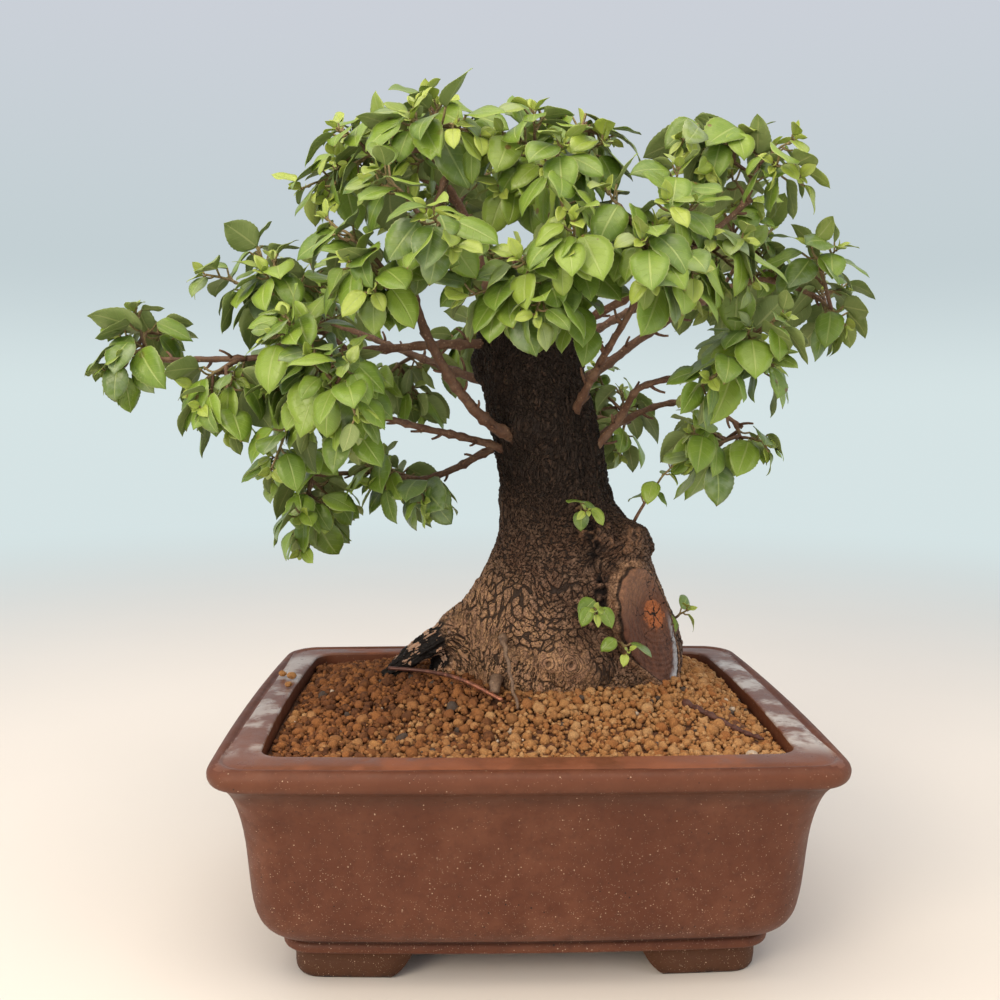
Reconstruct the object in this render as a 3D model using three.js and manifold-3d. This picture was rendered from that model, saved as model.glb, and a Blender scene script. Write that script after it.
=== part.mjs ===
// Bonsai tree in a rectangular clay pot. Millimetres, +Z up, front of the pot at -Y.
import * as THREE from 'three';
import { mergeVertices } from 'three/addons/utils/BufferGeometryUtils.js';
import Module from 'manifold-3d';

const wasm = await Module();
wasm.setup();

// pot
const rimWide = 300;
const rimDeep = 240;
const potTall = 117;
const rimCorner = 18;
const rimFlat = 22.4; // flat shelf from the outer edge to the mouth
const lipTall = 10;
const wall = 9;
const floorThick = 9;
const bodyInset = 13; // wall's outer face behind the rim's outer edge
const bandInset = 29; // base band, likewise
const bandTall = 6;
const footTall = 15;
const footInset = 34.5;
const footThick = 20;
const footLongX = 48;
const footLongY = 40;
const sideBow = 2.6;
const holeRadius = 13;
const holeApart = 124;
// soil
const soilDrop = 8.5; // soil edge below the rim
const moundRise = 14;
const clearance = 0.35;
const mouthX = 127.6; // half mouth that the stones' and twig's places are given for
const mouthY = 97.6;
// tree
const trunkTall = 232.5; // top of the trunk above the soil's edge
const drawnEdge = 108.5; // soil edge and trunk height that the limb and spray heights are given for
const drawnTall = 232.5;
const waist = 100; // above this the tree is stretched with the trunk
const trunkBuried = 20; // how far the root base reaches below the soil's edge
const sproutLeaf = 15;
const leafLength = 25;
const leafWide = 0.66;
const leafThick = 0.9;
const petiole = 8;
const shootRadius = 1.1;
const wireRadius = 1;
const deadTwigRadius = 1.5;

const colours = {
  clay: '#7d4638',
  soil: '#a9713f',
  bark: '#4b372c',
  limb: '#6b4636',
  shoot: '#7b5c3a',
  leaf: '#557b33',
  copper: '#7f4a37',
  stone: '#54514c',
};

const v = (x, y, z) => new THREE.Vector3(x, y, z);
const up = v(0, 0, 1);

// repeatable number from 0 to 1
function wobble(seed, k) {
  const value = Math.sin(seed * 12.9898 + k * 78.233) * 43758.5453;
  return value - Math.floor(value);
}

function material(colour, roughness = 0.85) {
  return new THREE.MeshStandardMaterial({ color: colour, roughness, metalness: 0 });
}

function toSolid(geometry) {
  const bare = geometry.clone();
  bare.deleteAttribute('normal');
  bare.deleteAttribute('uv');
  const merged = mergeVertices(bare, 1e-4);
  return new wasm.Manifold(new wasm.Mesh({
    numProp: 3,
    vertProperties: new Float32Array(merged.attributes.position.array),
    triVerts: new Uint32Array(merged.index.array),
  }));
}

function toGeometry(solid) {
  const mesh = solid.getMesh();
  const geometry = new THREE.BufferGeometry();
  geometry.setAttribute('position', new THREE.BufferAttribute(mesh.vertProperties, 3));
  geometry.setIndex(new THREE.BufferAttribute(mesh.triVerts, 1));
  return geometry;
}

// the biggest separate body of a cut solid
function mainBody(solid) {
  const bodies = solid.decompose();
  bodies.sort((a, b) => b.volume() - a.volume());
  return bodies[0];
}

// skin over rings of equal count, closed with a fan at each end
function loft(rings, loop = false) {
  const count = rings[0].length;
  const position = [];
  const index = [];
  rings.forEach((ring) => ring.forEach((p) => position.push(p.x, p.y, p.z)));
  const last = loop ? rings.length : rings.length - 1;
  for (let i = 0; i < last; i += 1) {
    const below = i * count;
    const above = ((i + 1) % rings.length) * count;
    for (let k = 0; k < count; k += 1) {
      const next = (k + 1) % count;
      index.push(below + k, below + next, above + next);
      index.push(below + k, above + next, above + k);
    }
  }
  if (!loop) {
    [0, rings.length - 1].forEach((which) => {
      const middle = v(0, 0, 0);
      rings[which].forEach((p) => middle.add(p));
      middle.divideScalar(count);
      const hub = position.length / 3;
      position.push(middle.x, middle.y, middle.z);
      for (let k = 0; k < count; k += 1) {
        const a = which * count + k;
        const b = which * count + ((k + 1) % count);
        if (which === 0) index.push(hub, b, a);
        else index.push(hub, a, b);
      }
    });
  }
  const geometry = new THREE.BufferGeometry();
  geometry.setAttribute('position', new THREE.Float32BufferAttribute(position, 3));
  geometry.setIndex(index);
  return geometry;
}

// ---- pot -------------------------------------------------------------

// rounded rectangle, its sides bowed outwards a little
function section(inset, z, corner) {
  const halfX = rimWide / 2 - inset;
  const halfY = rimDeep / 2 - inset;
  const radius = Math.max(corner, 2);
  const ring = [];
  const corners = [[1, 1], [-1, 1], [-1, -1], [1, -1]];
  corners.forEach(([sx, sy], q) => {
    const cx = sx * (halfX - radius);
    const cy = sy * (halfY - radius);
    for (let i = 0; i <= 4; i += 1) {
      const a = (q + i / 4) * Math.PI / 2;
      ring.push(v(cx + radius * Math.cos(a), cy + radius * Math.sin(a), z));
    }
    const [nx, ny] = corners[(q + 1) % 4];
    const from = ring[ring.length - 1].clone();
    const a = (q + 1) * Math.PI / 2;
    const to = v(nx * (halfX - radius) + radius * Math.cos(a), ny * (halfY - radius) + radius * Math.sin(a), z);
    for (let i = 1; i <= 2; i += 1) {
      const s = i / 3;
      const p = from.clone().lerp(to, s);
      const bow = sideBow * (1 - (2 * s - 1) ** 2);
      ring.push(v(p.x + bow * Math.cos(a), p.y + bow * Math.sin(a), z));
    }
  });
  return ring;
}

const bandTop = footTall + bandTall;
const innerFloor = footTall + floorThick;
const lipLow = potTall - lipTall;

// the mouth and inner wall, shared by the pot and the soil
function innerSection(z, gap = 0) {
  const t = THREE.MathUtils.clamp((z - innerFloor) / (potTall - innerFloor), 0, 1);
  const tuck = 14 * (1 - Math.min(1, t / 0.22)) ** 2; // round bottom corner
  const high = Math.max(0, (t - 0.75) / 0.25);
  const inset = THREE.MathUtils.lerp(bodyInset + wall + 2.5 * (1 - t), rimFlat, high);
  return section(inset + tuck + gap, z, 13);
}

function makePot() {
  const bodyTall = lipLow - bandTop;
  const rings = [
    section(bandInset + 2.5, footTall, 15),
    section(bandInset + 0.4, footTall + 1.2, 16),
    section(bandInset, footTall + bandTall * 0.55, 17),
    section(bandInset + 0.8, bandTop - 0.8, 17),
    section(bandInset + 2, bandTop, 17),
    section(bandInset + 1.2, bandTop + 1.2, 17),
    section(bodyInset + 12.5, bandTop + 3, 19),
    section(bodyInset + 7.6, bandTop + 7.5, 21),
    section(bodyInset + 4.4, bandTop + 14, 22),
    section(bodyInset + 2.2, bandTop + 26, 23),
    section(bodyInset + 0.4, bandTop + bodyTall * 0.62, 23),
    section(bodyInset - 1.8, lipLow - 19, 22),
    section(bodyInset - 3.8, lipLow - 11, 21),
    section(bodyInset - 6.4, lipLow - 5, 20),
    section(bodyInset - 9.4, lipLow - 1.4, 19),
    section(1.7, lipLow - 0.3, rimCorner),
    section(0.5, lipLow + 1.8, rimCorner),
    section(0, potTall - lipTall * 0.5, rimCorner),
    section(0.7, potTall - 2.4, rimCorner),
    section(2.6, potTall - 0.9, rimCorner),
    section(5.4, potTall - 0.5, rimCorner - 2),
    section(6.4, potTall - 0.9, rimCorner - 3),
    section(8, potTall - 0.3, rimCorner - 4),
    section(10.5, potTall, rimCorner - 5),
    section(rimFlat - 1.6, potTall, 12),
    section(rimFlat - 0.4, potTall - 0.5, 12),
    innerSection(potTall - 1.8),
    innerSection(potTall - 24),
    innerSection(innerFloor + 30),
    innerSection(innerFloor + 13),
    innerSection(innerFloor + 5),
    innerSection(innerFloor + 1),
    innerSection(innerFloor),
  ];
  let pot = toSolid(loft(rings));
  pot = pot.add(makeFeet());
  [-1, 1].forEach((side) => {
    const drill = new THREE.CylinderGeometry(holeRadius, holeRadius, floorThick * 3, 20);
    drill.rotateX(Math.PI / 2);
    drill.translate(side * holeApart / 2, 0, footTall + floorThick / 2);
    pot = pot.subtract(toSolid(drill));
  });
  return toGeometry(pot);
}

// gap between two feet: flat bar with an ogee at each end
function footGap(half, length) {
  const shape = new THREE.Shape();
  const ogee = [[0, -1], [1, 0.8], [4.5, 3.5], [8, 8], [10.5, 12], [12.5, footTall - 0.5], [12.5, footTall + 3]];
  shape.moveTo(half - ogee[0][0], ogee[0][1]);
  ogee.slice(1).forEach(([inward, z]) => shape.lineTo(half - inward, z));
  ogee.slice().reverse().forEach(([inward, z]) => shape.lineTo(inward - half, z));
  shape.closePath();
  const bar = new THREE.ExtrudeGeometry(shape, { depth: length, bevelEnabled: false });
  bar.translate(0, 0, -length / 2);
  bar.rotateX(Math.PI / 2);
  return bar;
}

function makeFeet() {
  const skirt = loft([
    section(footInset + 2, 0, 12),
    section(footInset + 0.4, 1.8, 14),
    section(footInset, footTall * 0.6, 14),
    section(footInset + 0.8, footTall + 1, 14),
    section(footInset + footThick, footTall + 1, 8),
    section(footInset + footThick + 1.5, 0, 8),
  ], true);
  const alongY = footGap(rimWide / 2 - footInset - footLongX, rimDeep + 20);
  const alongX = footGap(rimDeep / 2 - footInset - footLongY, rimWide + 20);
  alongX.rotateZ(Math.PI / 2);
  return toSolid(skirt).subtract(toSolid(alongY)).subtract(toSolid(alongX));
}

// ---- trunk -----------------------------------------------------------

const soilEdge = potTall - soilDrop;
const trunkTop = soilEdge + trunkTall;
const rootFoot = v(20, 25, soilEdge); // where the trunk stands in the soil

// height above the soil's edge, middle x and y, then reach left, right, front and back
const trunkSections = [
  [-trunkBuried, 20, 27, 58, 60, 36, 40],
  [-8, 20, 27, 72, 72, 45, 48],
  [4, 20, 27, 76, 77, 48, 50],
  [13, 20, 27, 74, 77, 48, 49],
  [22, 20, 26, 71, 76, 46, 46],
  [34, 21, 26, 71, 74, 43, 43],
  [50, 22, 25, 61, 68, 40, 39],
  [64, 23, 24, 51, 62, 37, 36],
  [81, 24, 24, 40, 55, 34, 33],
  [96, 24, 24, 35, 51, 32, 31],
  [104, 24, 24, 34, 42, 31, 30],
  [116, 23, 24, 33, 33, 29, 29],
  [128, 21, 23, 32, 31, 28, 28],
  [146, 18, 22, 32, 30, 27, 27],
  [168, 13, 21, 33, 28, 26, 26],
  [190, 7, 20, 31, 28, 26, 25],
  [206, 3, 20, 29, 27, 25, 25],
  [218, 1, 20, 26, 26, 24, 23],
  [226, 0, 20, 21, 21, 20, 19],
  [231, 0, 20, 13, 14, 13, 12],
];
// roots and hollows round the base: angle in degrees, width, size
const rootLobes = [
  [182, 14, 0.1], [211, 22, -0.28], [258, 16, 0.07], [292, 14, -0.05], [315, 16, 0.07],
  [20, 20, 0.05], [62, 18, 0.12], [95, 14, -0.08], [128, 20, 0.12], [156, 12, -0.08],
];

function trunkRing(row, index, gap) {
  const [rise, cx, cy, left, right, front, back] = row;
  const scale = rise > 100 ? (trunkTop - soilEdge) / 231 : 1;
  const z = soilEdge + (rise > 100 ? 100 + (rise - 100) * scale : rise);
  const ring = [];
  const flare = THREE.MathUtils.clamp(1 - rise / 110, 0.12, 1);
  for (let k = 0; k < 26; k += 1) {
    const a = k / 26 * Math.PI * 2;
    const c = Math.cos(a);
    const s = Math.sin(a);
    let swell = 1;
    rootLobes.forEach(([angle, width, size]) => {
      const off = THREE.MathUtils.euclideanModulo(k / 26 * 360 - angle + 180, 360) - 180;
      swell += size * flare * Math.exp(-((off / width) ** 2));
    });
    const rough = 1.1 * (wobble(index + 3, k + 11) - 0.5) + 1.2 * Math.sin(3 * a + rise * 0.045);
    const x = c * (c > 0 ? right : left) * swell + c * (rough + gap);
    const y = s * (s > 0 ? back : front) * swell + s * (rough + gap);
    ring.push(v(cx + x, cy + y, z - (index === 0 ? gap : 0)));
  }
  return ring;
}

function trunkCore(gap = 0) {
  const rings = trunkSections.map((row, i) => trunkRing(row, i, gap));
  return toSolid(loft(rings));
}

// round bar through points, its radius given at each point
function taper(points, radii, sides = 6, steps = 3, gap = 0) {
  const curve = new THREE.CatmullRomCurve3(points, false, 'catmullrom', 0.5);
  const last = (points.length - 1) * steps;
  const rings = [];
  let side = v(0, 0, 0);
  for (let i = 0; i <= last; i += 1) {
    const t = i / last;
    const along = curve.getTangent(t);
    if (i === 0) side = Math.abs(along.z) > 0.9 ? v(1, 0, 0) : v(0, 0, 1);
    side = side.clone().addScaledVector(along, -side.dot(along)).normalize();
    const other = along.clone().cross(side);
    const at = Math.min(t * (points.length - 1), points.length - 1.000001);
    const low = Math.floor(at);
    const radius = radii[low] + (radii[low + 1] - radii[low]) * (at - low) + gap;
    const middle = curve.getPoint(t);
    if (i === 0) middle.addScaledVector(along, -gap);
    if (i === last) middle.addScaledVector(along, gap);
    const ring = [];
    for (let k = 0; k < sides; k += 1) {
      const a = k / sides * Math.PI * 2;
      ring.push(middle.clone().addScaledVector(side, radius * Math.cos(a)).addScaledVector(other, radius * Math.sin(a)));
    }
    rings.push(ring);
  }
  return toSolid(loft(rings));
}

function blob(at, size, turn = [0, 0, 0], detail = [14, 10]) {
  const ball = new THREE.SphereGeometry(1, detail[0], detail[1]);
  ball.scale(...size);
  ball.rotateX(turn[0]);
  ball.rotateY(turn[1]);
  ball.rotateZ(turn[2]);
  ball.translate(at.x, at.y, at.z);
  return toSolid(ball);
}

// sealed pruning cut: a stub sawn flat, broad above and narrow below, with a rolled rim round a shallow dish
const cutAt = v(72, -4, soilEdge + 47);
const cutTurn = [-0.08, -0.38, 0.83];
const cutWide = 18.5;
const cutLong = 37;

function cutRing(depth, scale, gap) {
  const ring = [];
  const turn = new THREE.Euler(cutTurn[0], cutTurn[1], cutTurn[2], 'ZYX');
  for (let k = 0; k < 18; k += 1) {
    const a = -k / 18 * Math.PI * 2;
    const wide = cutWide * (1 + 0.24 * Math.sin(a));
    const x = Math.cos(a) * (wide * scale + gap);
    const z = Math.sin(a) * (cutLong * scale + gap);
    ring.push(v(x, depth, z).applyEuler(turn).add(cutAt));
  }
  return ring;
}

function cutStub(gap = 0) {
  const stub = toSolid(loft([
    cutRing(-gap, 0.9, gap), cutRing(0.8, 0.97, gap), cutRing(3, 1, gap), cutRing(9, 1.03, gap),
    cutRing(20, 1, gap), cutRing(34, 0.86, gap), cutRing(44 + gap, 0.6, gap),
  ]));
  if (gap > 0) return stub;
  const facing = v(0, -1, 0).applyEuler(new THREE.Euler(cutTurn[0], cutTurn[1], cutTurn[2], 'ZYX'));
  const dish = blob(cutAt.clone().addScaledVector(facing, 3.4), [13, 5, 28], cutTurn, [14, 6]);
  return stub.subtract(dish);
}

function makeTrunk() {
  const base = soilEdge;
  let trunk = trunkCore().add(cutStub());
  const bumps = [
    [v(58, 10, base + 92), [19, 20, 17]],
    [v(40, -2, base + 96), [15, 11, 15]],
    [v(17, -12, base + 30), [19, 13, 18]],
    [v(36, -9, base + 27), [17, 13, 19]],
    [v(44, -8, base + 66), [13, 10, 18]],
    [v(30, 38, base + 126), [15, 13, 16]],
    [v(54, 46, base + 48), [22, 19, 30]],
    [v(4, 2, base + 158), [13, 11, 15]],
    [v(-15, 24, base + 196), [14, 15, 17]],
    [v(18, 25, base + 200), [15, 16, 18]],
  ];
  bumps.forEach(([at, size]) => {
    trunk = trunk.add(blob(at, size, [0, 0, 0], [8, 5]));
  });
  trunk = trunk.subtract(blob(v(33, -14, base + 90), [7, 7, 9], [0, 0, 0], [8, 6]));
  trunk = trunk.add(taper(
    [v(-28, 26, base + 44), v(-52, 22, base + 33), v(-70, 20, base + 20), v(-89, 26, base + 4)],
    [15, 11, 8, 3.5], 8,
  ));
  trunk = trunk.add(taper(
    [v(-10, 0, base + 46), v(-10, -13, base + 45), v(-8, -22, base + 34), v(-4, -28, base + 16)],
    [2.6, 2, 1.5, 1], 6,
  ));
  trunk = trunk.add(taper([v(-14, -2, base + 22), v(-15, -21, base + 21), v(-15, -23, base + 15)], [3.2, 2.4, 1.5], 6));
  trunk = trunk.add(taper([v(-6, 12, trunkTop - 16), v(-8, 10, trunkTop + 2), v(-9, 9, trunkTop + 9)], [6, 4.4, 3.2], 7));
  trunk = trunk.add(taper([v(10, 16, trunkTop - 16), v(12, 14, trunkTop), v(13, 13, trunkTop + 7)], [7, 5, 3.6], 7));
  return trunk;
}

// everything in the tree that the soil and limbs must clear
function trunkRoom() {
  return trunkCore(clearance).add(cutStub(clearance)).add(taper(
    [v(-28, 26, soilEdge + 44), v(-52, 22, soilEdge + 33), v(-70, 20, soilEdge + 20), v(-89, 26, soilEdge + 4)],
    [15, 11, 8, 3.5], 8, 3, clearance,
  )).add(taper([v(-14, -2, soilEdge + 22), v(-15, -21, soilEdge + 21), v(-15, -23, soilEdge + 15)],
    [3.2, 2.4, 1.5], 6, 3, clearance));
}

// ---- soil ------------------------------------------------------------

function soilHeight(x, y) {
  const reach = Math.hypot((x - rootFoot.x) / 76, (y - rootFoot.y) / 48);
  const rise = THREE.MathUtils.smoothstep(1 - (reach - 1) / 1.4, 0, 1);
  const toWall = Math.min(rimWide / 2 - rimFlat - Math.abs(x), rimDeep / 2 - rimFlat - Math.abs(y));
  const fade = THREE.MathUtils.clamp(toWall / 22, 0, 1);
  return soilEdge + moundRise * rise * fade + 0.5 * Math.sin(x * 0.11) * Math.cos(y * 0.13);
}

function makeSoil(room) {
  const bottom = innerFloor + clearance;
  const rings = [
    innerSection(bottom, clearance),
    innerSection(innerFloor + 5, clearance),
    innerSection(innerFloor + 13, clearance),
    innerSection(innerFloor + 30, clearance),
    innerSection(potTall - 24, clearance),
  ];
  const edge = innerSection(soilEdge, clearance);
  [1, 0.92, 0.78, 0.6, 0.42].forEach((share, i) => {
    rings.push(edge.map((p, k) => {
      const x = rootFoot.x + (p.x - rootFoot.x) * share;
      const y = rootFoot.y + (p.y - rootFoot.y) * share;
      const lump = i === 0 ? 0 : 1.6 * (wobble(i + 21, k) - 0.5);
      return v(x, y, (i === 0 ? soilEdge : soilHeight(x, y)) + lump);
    }));
  });
  return toSolid(loft(rings)).subtract(room);
}

// ---- limbs -----------------------------------------------------------

// parent, radius at start and end, then points
const limbTable = {
  limb_front_left: ['trunk', 3.8, 1.7, [-2, 6, 262], [-18, -10, 270], [-35, -26, 288], [-48, -40, 310],
    [-57, -50, 337], [-50, -56, 363], [-38, -52, 398]],
  limb_left_long: ['trunk', 3.4, 1.3, [-8, 14, 314], [-30, 8, 314], [-68, 0, 311], [-120, -8, 306], [-164, -11, 304],
    [-200, -10, 303]],
  limb_left_mid: ['trunk', 2.8, 1.4, [4, 22, 250], [-24, 10, 260], [-52, -6, 267], [-82, -24, 276], [-106, -38, 283]],
  limb_left_low: ['trunk', 3.1, 1.3, [2, 26, 262], [-18, 28, 254], [-38, 30, 243], [-58, 30, 237], [-82, 28, 241],
    [-118, 24, 240]],
  limb_left_back: ['trunk', 3.4, 1.5, [-4, 30, 290], [-32, 44, 298], [-62, 66, 310], [-96, 88, 324], [-122, 104, 334]],
  limb_back: ['trunk', 3.6, 1.6, [8, 28, 300], [8, 56, 310], [0, 86, 330], [6, 112, 352], [2, 134, 372]],
  limb_back_low: ['trunk', 3.1, 1.4, [16, 30, 262], [24, 58, 262], [36, 84, 268], [54, 106, 272], [70, 124, 270]],
  limb_right_back: ['trunk', 3.4, 1.5, [20, 28, 306], [42, 46, 322], [70, 66, 338], [100, 82, 346], [124, 96, 352]],
  limb_leader: ['trunk', 3.9, 1.5, [-13, 22, 326], [-20, 22, 348], [-28, 18, 378], [-42, 12, 402], [-50, 10, 430]],
  limb_top: ['trunk', 3.6, 1.5, [14, 20, 326], [20, 10, 354], [20, 0, 384], [20, -6, 408], [30, -8, 426]],
  limb_right_upper: ['trunk', 3.4, 1.4, [12, 20, 312], [34, 6, 326], [62, -14, 342], [90, -24, 364], [118, -22, 388]],
  limb_right_mid: ['trunk', 3.0, 1.4, [26, 16, 268], [34, -8, 288], [42, -26, 307], [52, -46, 328], [60, -62, 352]],
  limb_right_low: ['trunk', 2.8, 1.3, [34, 16, 244], [54, 6, 272], [64, -10, 290], [88, -20, 296], [114, -22, 299]],
  limb_right_far: ['trunk', 3.6, 1.3, [20, 28, 284], [48, 32, 302], [78, 36, 324], [106, 32, 341], [138, 26, 353],
    [172, 22, 342]],
  limb_right_down: ['trunk', 2.6, 1.2, [30, 28, 252], [56, 32, 268], [80, 26, 280], [104, 18, 282], [126, 12, 268]],
};

// a place on the tree, which stands on the soil and grows with its trunk
function onTree([x, y, z]) {
  const rise = z - drawnEdge;
  const grown = rise > waist ? waist + (rise - waist) * (trunkTall / drawnTall) : rise;
  return v(x, y, soilEdge + grown);
}

function limbPoints(name) {
  return limbTable[name].slice(3).map(onTree);
}

function limbRadii(name) {
  const [, start, end, ...points] = limbTable[name];
  const last = points.length - 1;
  return points.map((p, i) => start + (end - start) * (i / last));
}

function limbSolid(name, gap = 0) {
  return taper(limbPoints(name), limbRadii(name), 5, 2, gap);
}

// ---- leaves and shoots -----------------------------------------------

// leaf on its stalk: a folded blade with a sharp tip, as one thin solid
function leafSolid(pose, gap = 0) {
  const { foot, neck, along, face, length } = pose;
  const across = along.clone().cross(face).normalize();
  const wide = length * leafWide / 2 + gap;
  const thick = leafThick / 2 + gap;
  const place = (x, y, z) => neck.clone().addScaledVector(across, x).addScaledVector(along, y).addScaledVector(face, z);
  const stalk = foot.clone().sub(neck).normalize();
  const bore = 0.42 + gap;
  const lift = length * 0.1; // the fold lifts the edges above the midrib
  const points = [
    foot.clone().addScaledVector(across, -bore).addScaledVector(face, -bore * 0.6),
    foot.clone().addScaledVector(across, bore).addScaledVector(face, -bore * 0.6),
    foot.clone().addScaledVector(face, bore),
    place(-bore, 0, -bore * 0.6),
    place(bore, 0, -bore * 0.6),
    place(0, 0, bore),
    place(wide, length * 0.42, lift),
    place(0, length + gap, -length * 0.12),
    place(-wide, length * 0.42, lift),
    place(0, length * 0.42, thick),
    place(0, length * 0.42, -thick),
  ];
  if (gap > 0) [0, 1, 2].forEach((i) => points[i].addScaledVector(stalk, -1.6));
  const index = [
    0, 1, 2, 0, 4, 1, 0, 3, 4, 1, 5, 2, 1, 4, 5, 2, 3, 0, 2, 5, 3,
    9, 3, 5, 9, 8, 3, 9, 7, 8, 9, 6, 7, 9, 4, 6, 9, 5, 4,
    10, 4, 3, 10, 6, 4, 10, 7, 6, 10, 8, 7, 10, 3, 8,
  ];
  const geometry = new THREE.BufferGeometry();
  geometry.setAttribute('position', new THREE.Float32BufferAttribute(points.flatMap((p) => p.toArray()), 3));
  geometry.setIndex(index);
  return toSolid(geometry);
}

// arched shoot between two points
function shootCurve(start, tip) {
  const middle = start.clone().lerp(tip, 0.5);
  middle.z += 0.13 * start.distanceTo(tip);
  return new THREE.QuadraticBezierCurve3(start, middle, tip);
}

function sideVector(along, turn) {
  const flat = along.clone().cross(up);
  if (flat.length() < 0.05) flat.set(1, 0, 0);
  flat.normalize();
  const rise = flat.clone().cross(along).normalize();
  return flat.multiplyScalar(Math.cos(turn)).addScaledVector(rise, Math.sin(turn));
}

// pose of leaf number j of count on a shoot
function leafPose(curve, j, count, seed, size) {
  const t = 0.16 + 0.84 * (j + 1) / count;
  const foot = curve.getPoint(Math.min(t, 1));
  const along = curve.getTangent(Math.min(t, 1));
  const turn = j * 2.39996 + seed * 1.7;
  const side = sideVector(along, turn);
  const open = 0.75 + 0.4 * wobble(seed, j + 5);
  const stalk = along.clone().multiplyScalar(Math.cos(open)).addScaledVector(side, Math.sin(open));
  stalk.z += 0.22;
  stalk.normalize();
  const young = THREE.MathUtils.clamp((t - 0.7) / 0.3, 0, 1);
  const length = size * (1 - 0.45 * young) * (0.82 + 0.36 * wobble(seed, j + 31));
  const neck = foot.clone().addScaledVector(stalk, petiole * length / leafLength);
  const blade = stalk.clone();
  blade.z -= 0.35 + 0.5 * wobble(seed, j + 57) * (1 - young);
  blade.normalize();
  const lean = v(wobble(seed, j + 71) - 0.5, wobble(seed, j + 83) - 0.5, 0.75);
  const face = lean.addScaledVector(blade, -lean.dot(blade)).normalize();
  return { foot, neck, along: blade, face, length };
}

// limb, share of its length, then a tip for each shoot; the second and later ones leave the first
const sprayTable = {
  spray_left_tip: ['limb_left_long', 0.96, [-213, -9, 314], [-207, -25, 302], [-202, 10, 322]],
  spray_left_droop: ['limb_left_long', 0.72, [-171, -28, 288], [-151, -40, 268], [-131, 14, 287]],
  spray_left_rise: ['limb_left_long', 0.5, [-165, -23, 347], [-132, -36, 345], [-126, 17, 341]],
  spray_left_hang: ['limb_left_long', 0.56, [-105, -64, 274], [-127, -53, 249], [-84, -70, 269]],
  spray_left_front: ['limb_left_mid', 0.92, [-104, -78, 302], [-118, -58, 322], [-81, -96, 276]],
  spray_left_under: ['limb_left_low', 0.93, [-138, 15, 238], [-123, 4, 200], [-106, 42, 218]],
  spray_left_skirt: ['limb_left_low', 0.6, [-82, 4, 236], [-52, 12, 229], [-72, 55, 235]],
  spray_back_left: ['limb_left_back', 0.95, [-143, 117, 329], [-110, 138, 348], [-133, 88, 361], [-139, 99, 293]],
  spray_back_left_low: ['limb_left_back', 0.5, [-90, 105, 289], [-59, 107, 276], [-110, 71, 282]],
  spray_shoulder_left: ['limb_front_left', 0.62, [-79, -69, 348], [-99, -49, 370], [-72, -95, 332]],
  spray_front_left: ['limb_front_left', 0.82, [-49, -94, 364], [-70, -77, 387], [-37, -115, 348]],
  spray_upper_left: ['limb_front_left', 0.97, [-66, -31, 417], [-90, -28, 402], [-37, -70, 411]],
  spray_crown_left: ['limb_leader', 0.6, [-99, 21, 431], [-121, 17, 399], [-79, 50, 415], [-104, -9, 389]],
  spray_crown: ['limb_leader', 0.97, [-47, 10, 441], [-62, 33, 431], [-26, 26, 432]],
  spray_crown_back: ['limb_leader', 0.42, [-43, 82, 408], [-71, 77, 391], [-20, 75, 422]],
  spray_crown_mid: ['limb_top', 0.96, [31, 0, 429], [3, -20, 426], [48, 17, 426]],
  spray_crown_front: ['limb_top', 0.6, [7, -76, 392], [33, -69, 403], [-12, -57, 411], [12, -99, 369]],
  spray_front: ['limb_right_mid', 0.5, [-7, -108, 343], [16, -109, 360], [-31, -93, 329]],
  spray_back: ['limb_back', 0.95, [4, 154, 383], [-35, 143, 390], [38, 141, 386], [0, 163, 353]],
  spray_back_low: ['limb_back_low', 0.95, [86, 137, 280], [52, 148, 296], [74, 126, 248], [26, 133, 265]],
  spray_back_mid: ['limb_back', 0.5, [-40, 116, 320], [-14, 140, 313], [32, 123, 328]],
  spray_back_right: ['limb_right_back', 0.95, [143, 106, 354], [112, 131, 357], [95, 76, 393], [141, 108, 316]],
  spray_right_crown: ['limb_right_upper', 0.95, [132, -4, 418], [95, 8, 423], [136, -40, 395], [80, -32, 416]],
  spray_right_front: ['limb_right_upper', 0.62, [84, -75, 360], [61, -88, 372], [108, -60, 341]],
  spray_front_right: ['limb_right_mid', 0.96, [47, -106, 352], [68, -91, 329], [35, -83, 377]],
  spray_right_mid: ['limb_right_low', 0.95, [128, -34, 302], [110, -54, 318], [90, -61, 294]],
  spray_right_tip: ['limb_right_far', 0.97, [182, 13, 327], [176, 33, 347], [157, -4, 366]],
  spray_right_top: ['limb_right_far', 0.66, [150, 49, 384], [120, 56, 401], [161, 56, 347]],
  spray_right_low: ['limb_right_down', 0.95, [126, 8, 257], [111, 35, 247], [95, -7, 250]],
};

// point on the trunk, tip of the sprout, leaf count
const sproutTable = {
  sprout_waist: [[30, 0, 222], [33, -28, 225], 5],
  sprout_shoulder: [[64, 8, 214], [82, -4, 246], 6],
  sprout_cut_left: [[42, -10, 168], [37, -38, 173], 5],
  sprout_cut_low: [[52, -6, 148], [54, -40, 152], 3],
  sprout_cut_right: [[88, 22, 152], [96, 10, 163], 4],
};

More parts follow.
